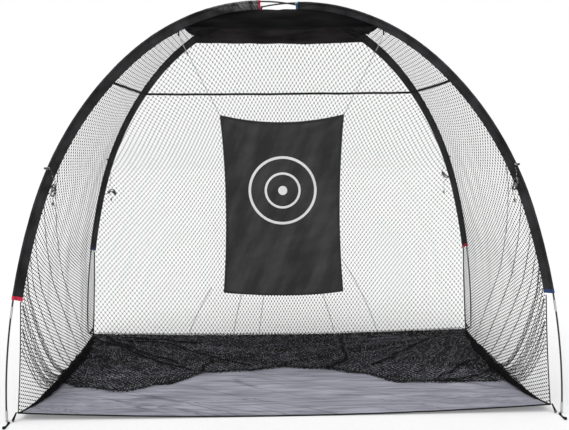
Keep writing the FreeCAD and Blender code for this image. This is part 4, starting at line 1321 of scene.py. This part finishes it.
def make_target():
    rows, columns = 90, 64
    points = []
    for row in range(rows):
        v = 2 * row / (rows - 1) - 1
        points += [target_point(2 * column / (columns - 1) - 1, v) for column in range(columns)]
    sheet = mesh_piece("target_cloth", points, grid_faces(rows, columns), target_cloth(), body="target")
    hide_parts("target_sheet")
    edge_u = 1 - BINDING_WIDTH / 2 / TARGET_TOP_HALF
    edge_v = 1 - BINDING_WIDTH / (TARGET_TOP - TARGET_BOTTOM)
    corners = [(-edge_u, edge_v), (edge_u, edge_v), (edge_u, -edge_v), (-edge_u, -edge_v), (-edge_u, edge_v)]
    path = []
    for start, end in zip(corners[:-1], corners[1:]):
        for step in range(50):
            path.append(target_point(*on_line(start, end, step / 50)))
    path.append(path[0])
    across = []
    for index in range(len(path)):
        along = path[(index + 1) % (len(path) - 1)] - path[index - 1 if index else -2]
        across.append(along.cross(BACK).normalized())
    size = (BINDING_WIDTH, BINDING_THICKNESS)
    binding = ribbon("target_hem", path, across, [BACK] * len(path), size, target_tape, "target")
    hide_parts("target_binding")


def make_target_cords():
    for label, side in SIDES:
        ring = Vector((side * RING_SPREAD, TARGET_PLANE, RING_HEIGHT))
        corner = Vector((side * TARGET_TOP_HALF, TARGET_PLANE, TARGET_TOP))
        direction = (corner - ring).normalized()
        start = ring + direction * RING_REACH
        joint = start + direction * ELASTIC_LENGTH
        below = joint + direction * TOGGLE_LENGTH
        end = corner - direction * CORD_GAP
        run = [between(start, joint, part) for part in (0, 0.5, 1)]
        elastic = curve_piece("target_elastic_line_" + label, run, ELASTIC_DIAMETER, pale_elastic, "target")
        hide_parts("target_elastic_" + label)
        run = [between(below, end, part) for part in (0, 0.25, 0.5, 0.75, 1)]
        cord = curve_piece("target_cord_line_" + label, run, CORD_DIAMETER, dark_braid, "target")
        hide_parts("target_cord_" + label)


target_tape = cloth("target_tape", (0.028, 0.028, 0.029), (0.040, 0.040, 0.042), 0.6, 0.0009, 60.0)
make_target_cords()
make_target()


# Floor, light and background
SKY_STRENGTH = 0.68
SUN_STRENGTH = 1.25
SUN_BREADTH = 50.0
SUN_DIRECTION = (0.45, 0.65, -1.6)
FLOOR_GLOW = 0.19
FLOOR_REACH = 30.0
FLOOR_DROP = 0.0005


def plain_sight(tree):
    """1 for rays that are seen straight, in a reflection or through something, else 0."""
    rays = add(tree, "LightPath").outputs
    seen = rays["Is Camera Ray"]
    for ray in ("Is Glossy Ray", "Is Transmission Ray"):
        seen = add(tree, "Math", {0: seen, 1: rays[ray]}, operation="MAXIMUM").outputs[0]
    return seen


def make_stage():
    material, tree = new_material("studio_floor")
    tone = blend_colour(tree, noise_value(tree, 2.0, 2.0), (0.80,) * 3, (0.82,) * 3)
    surface(material, tone, 0.9, shine=0.0)
    glow = add(tree, "Math", {0: plain_sight(tree), 1: FLOOR_GLOW}, operation="MULTIPLY").outputs[0]
    shader = tree.nodes["Principled BSDF"]
    shader.inputs["Emission Color"].default_value = (1, 1, 1, 1)
    tree.links.new(glow, shader.inputs["Emission Strength"])
    corners = [(a * FLOOR_REACH, b * FLOOR_REACH, 0) for a, b in ((-1, -1), (1, -1), (1, 1), (-1, 1))]
    floor = put("studio_floor", new_mesh("studio_floor", corners, [(0, 1, 2, 3)], material))
    floor.location.z = -FLOOR_DROP


def make_world():
    world = bpy.data.worlds.new("studio")
    world.use_nodes = True
    tree = world.node_tree
    background = tree.nodes["Background"]
    inputs = {"Value": plain_sight(tree), "To Min": SKY_STRENGTH, "To Max": 1.0}
    tree.links.new(add(tree, "MapRange", inputs).outputs[0], background.inputs["Strength"])
    background.inputs["Color"].default_value = (1, 1, 1, 1)
    bpy.context.scene.world = world


def make_light():
    """One broad soft sun from above the mouth, a little to the left."""
    data = bpy.data.lights.new("sun", "SUN")
    data.energy = SUN_STRENGTH
    data.angle = math.radians(SUN_BREADTH)
    put("sun", data).rotation_euler = Vector(SUN_DIRECTION).to_track_quat("-Z", "Y").to_euler()


make_stage()
make_world()
make_light()
bpy.context.scene.view_settings.view_transform = "Standard"
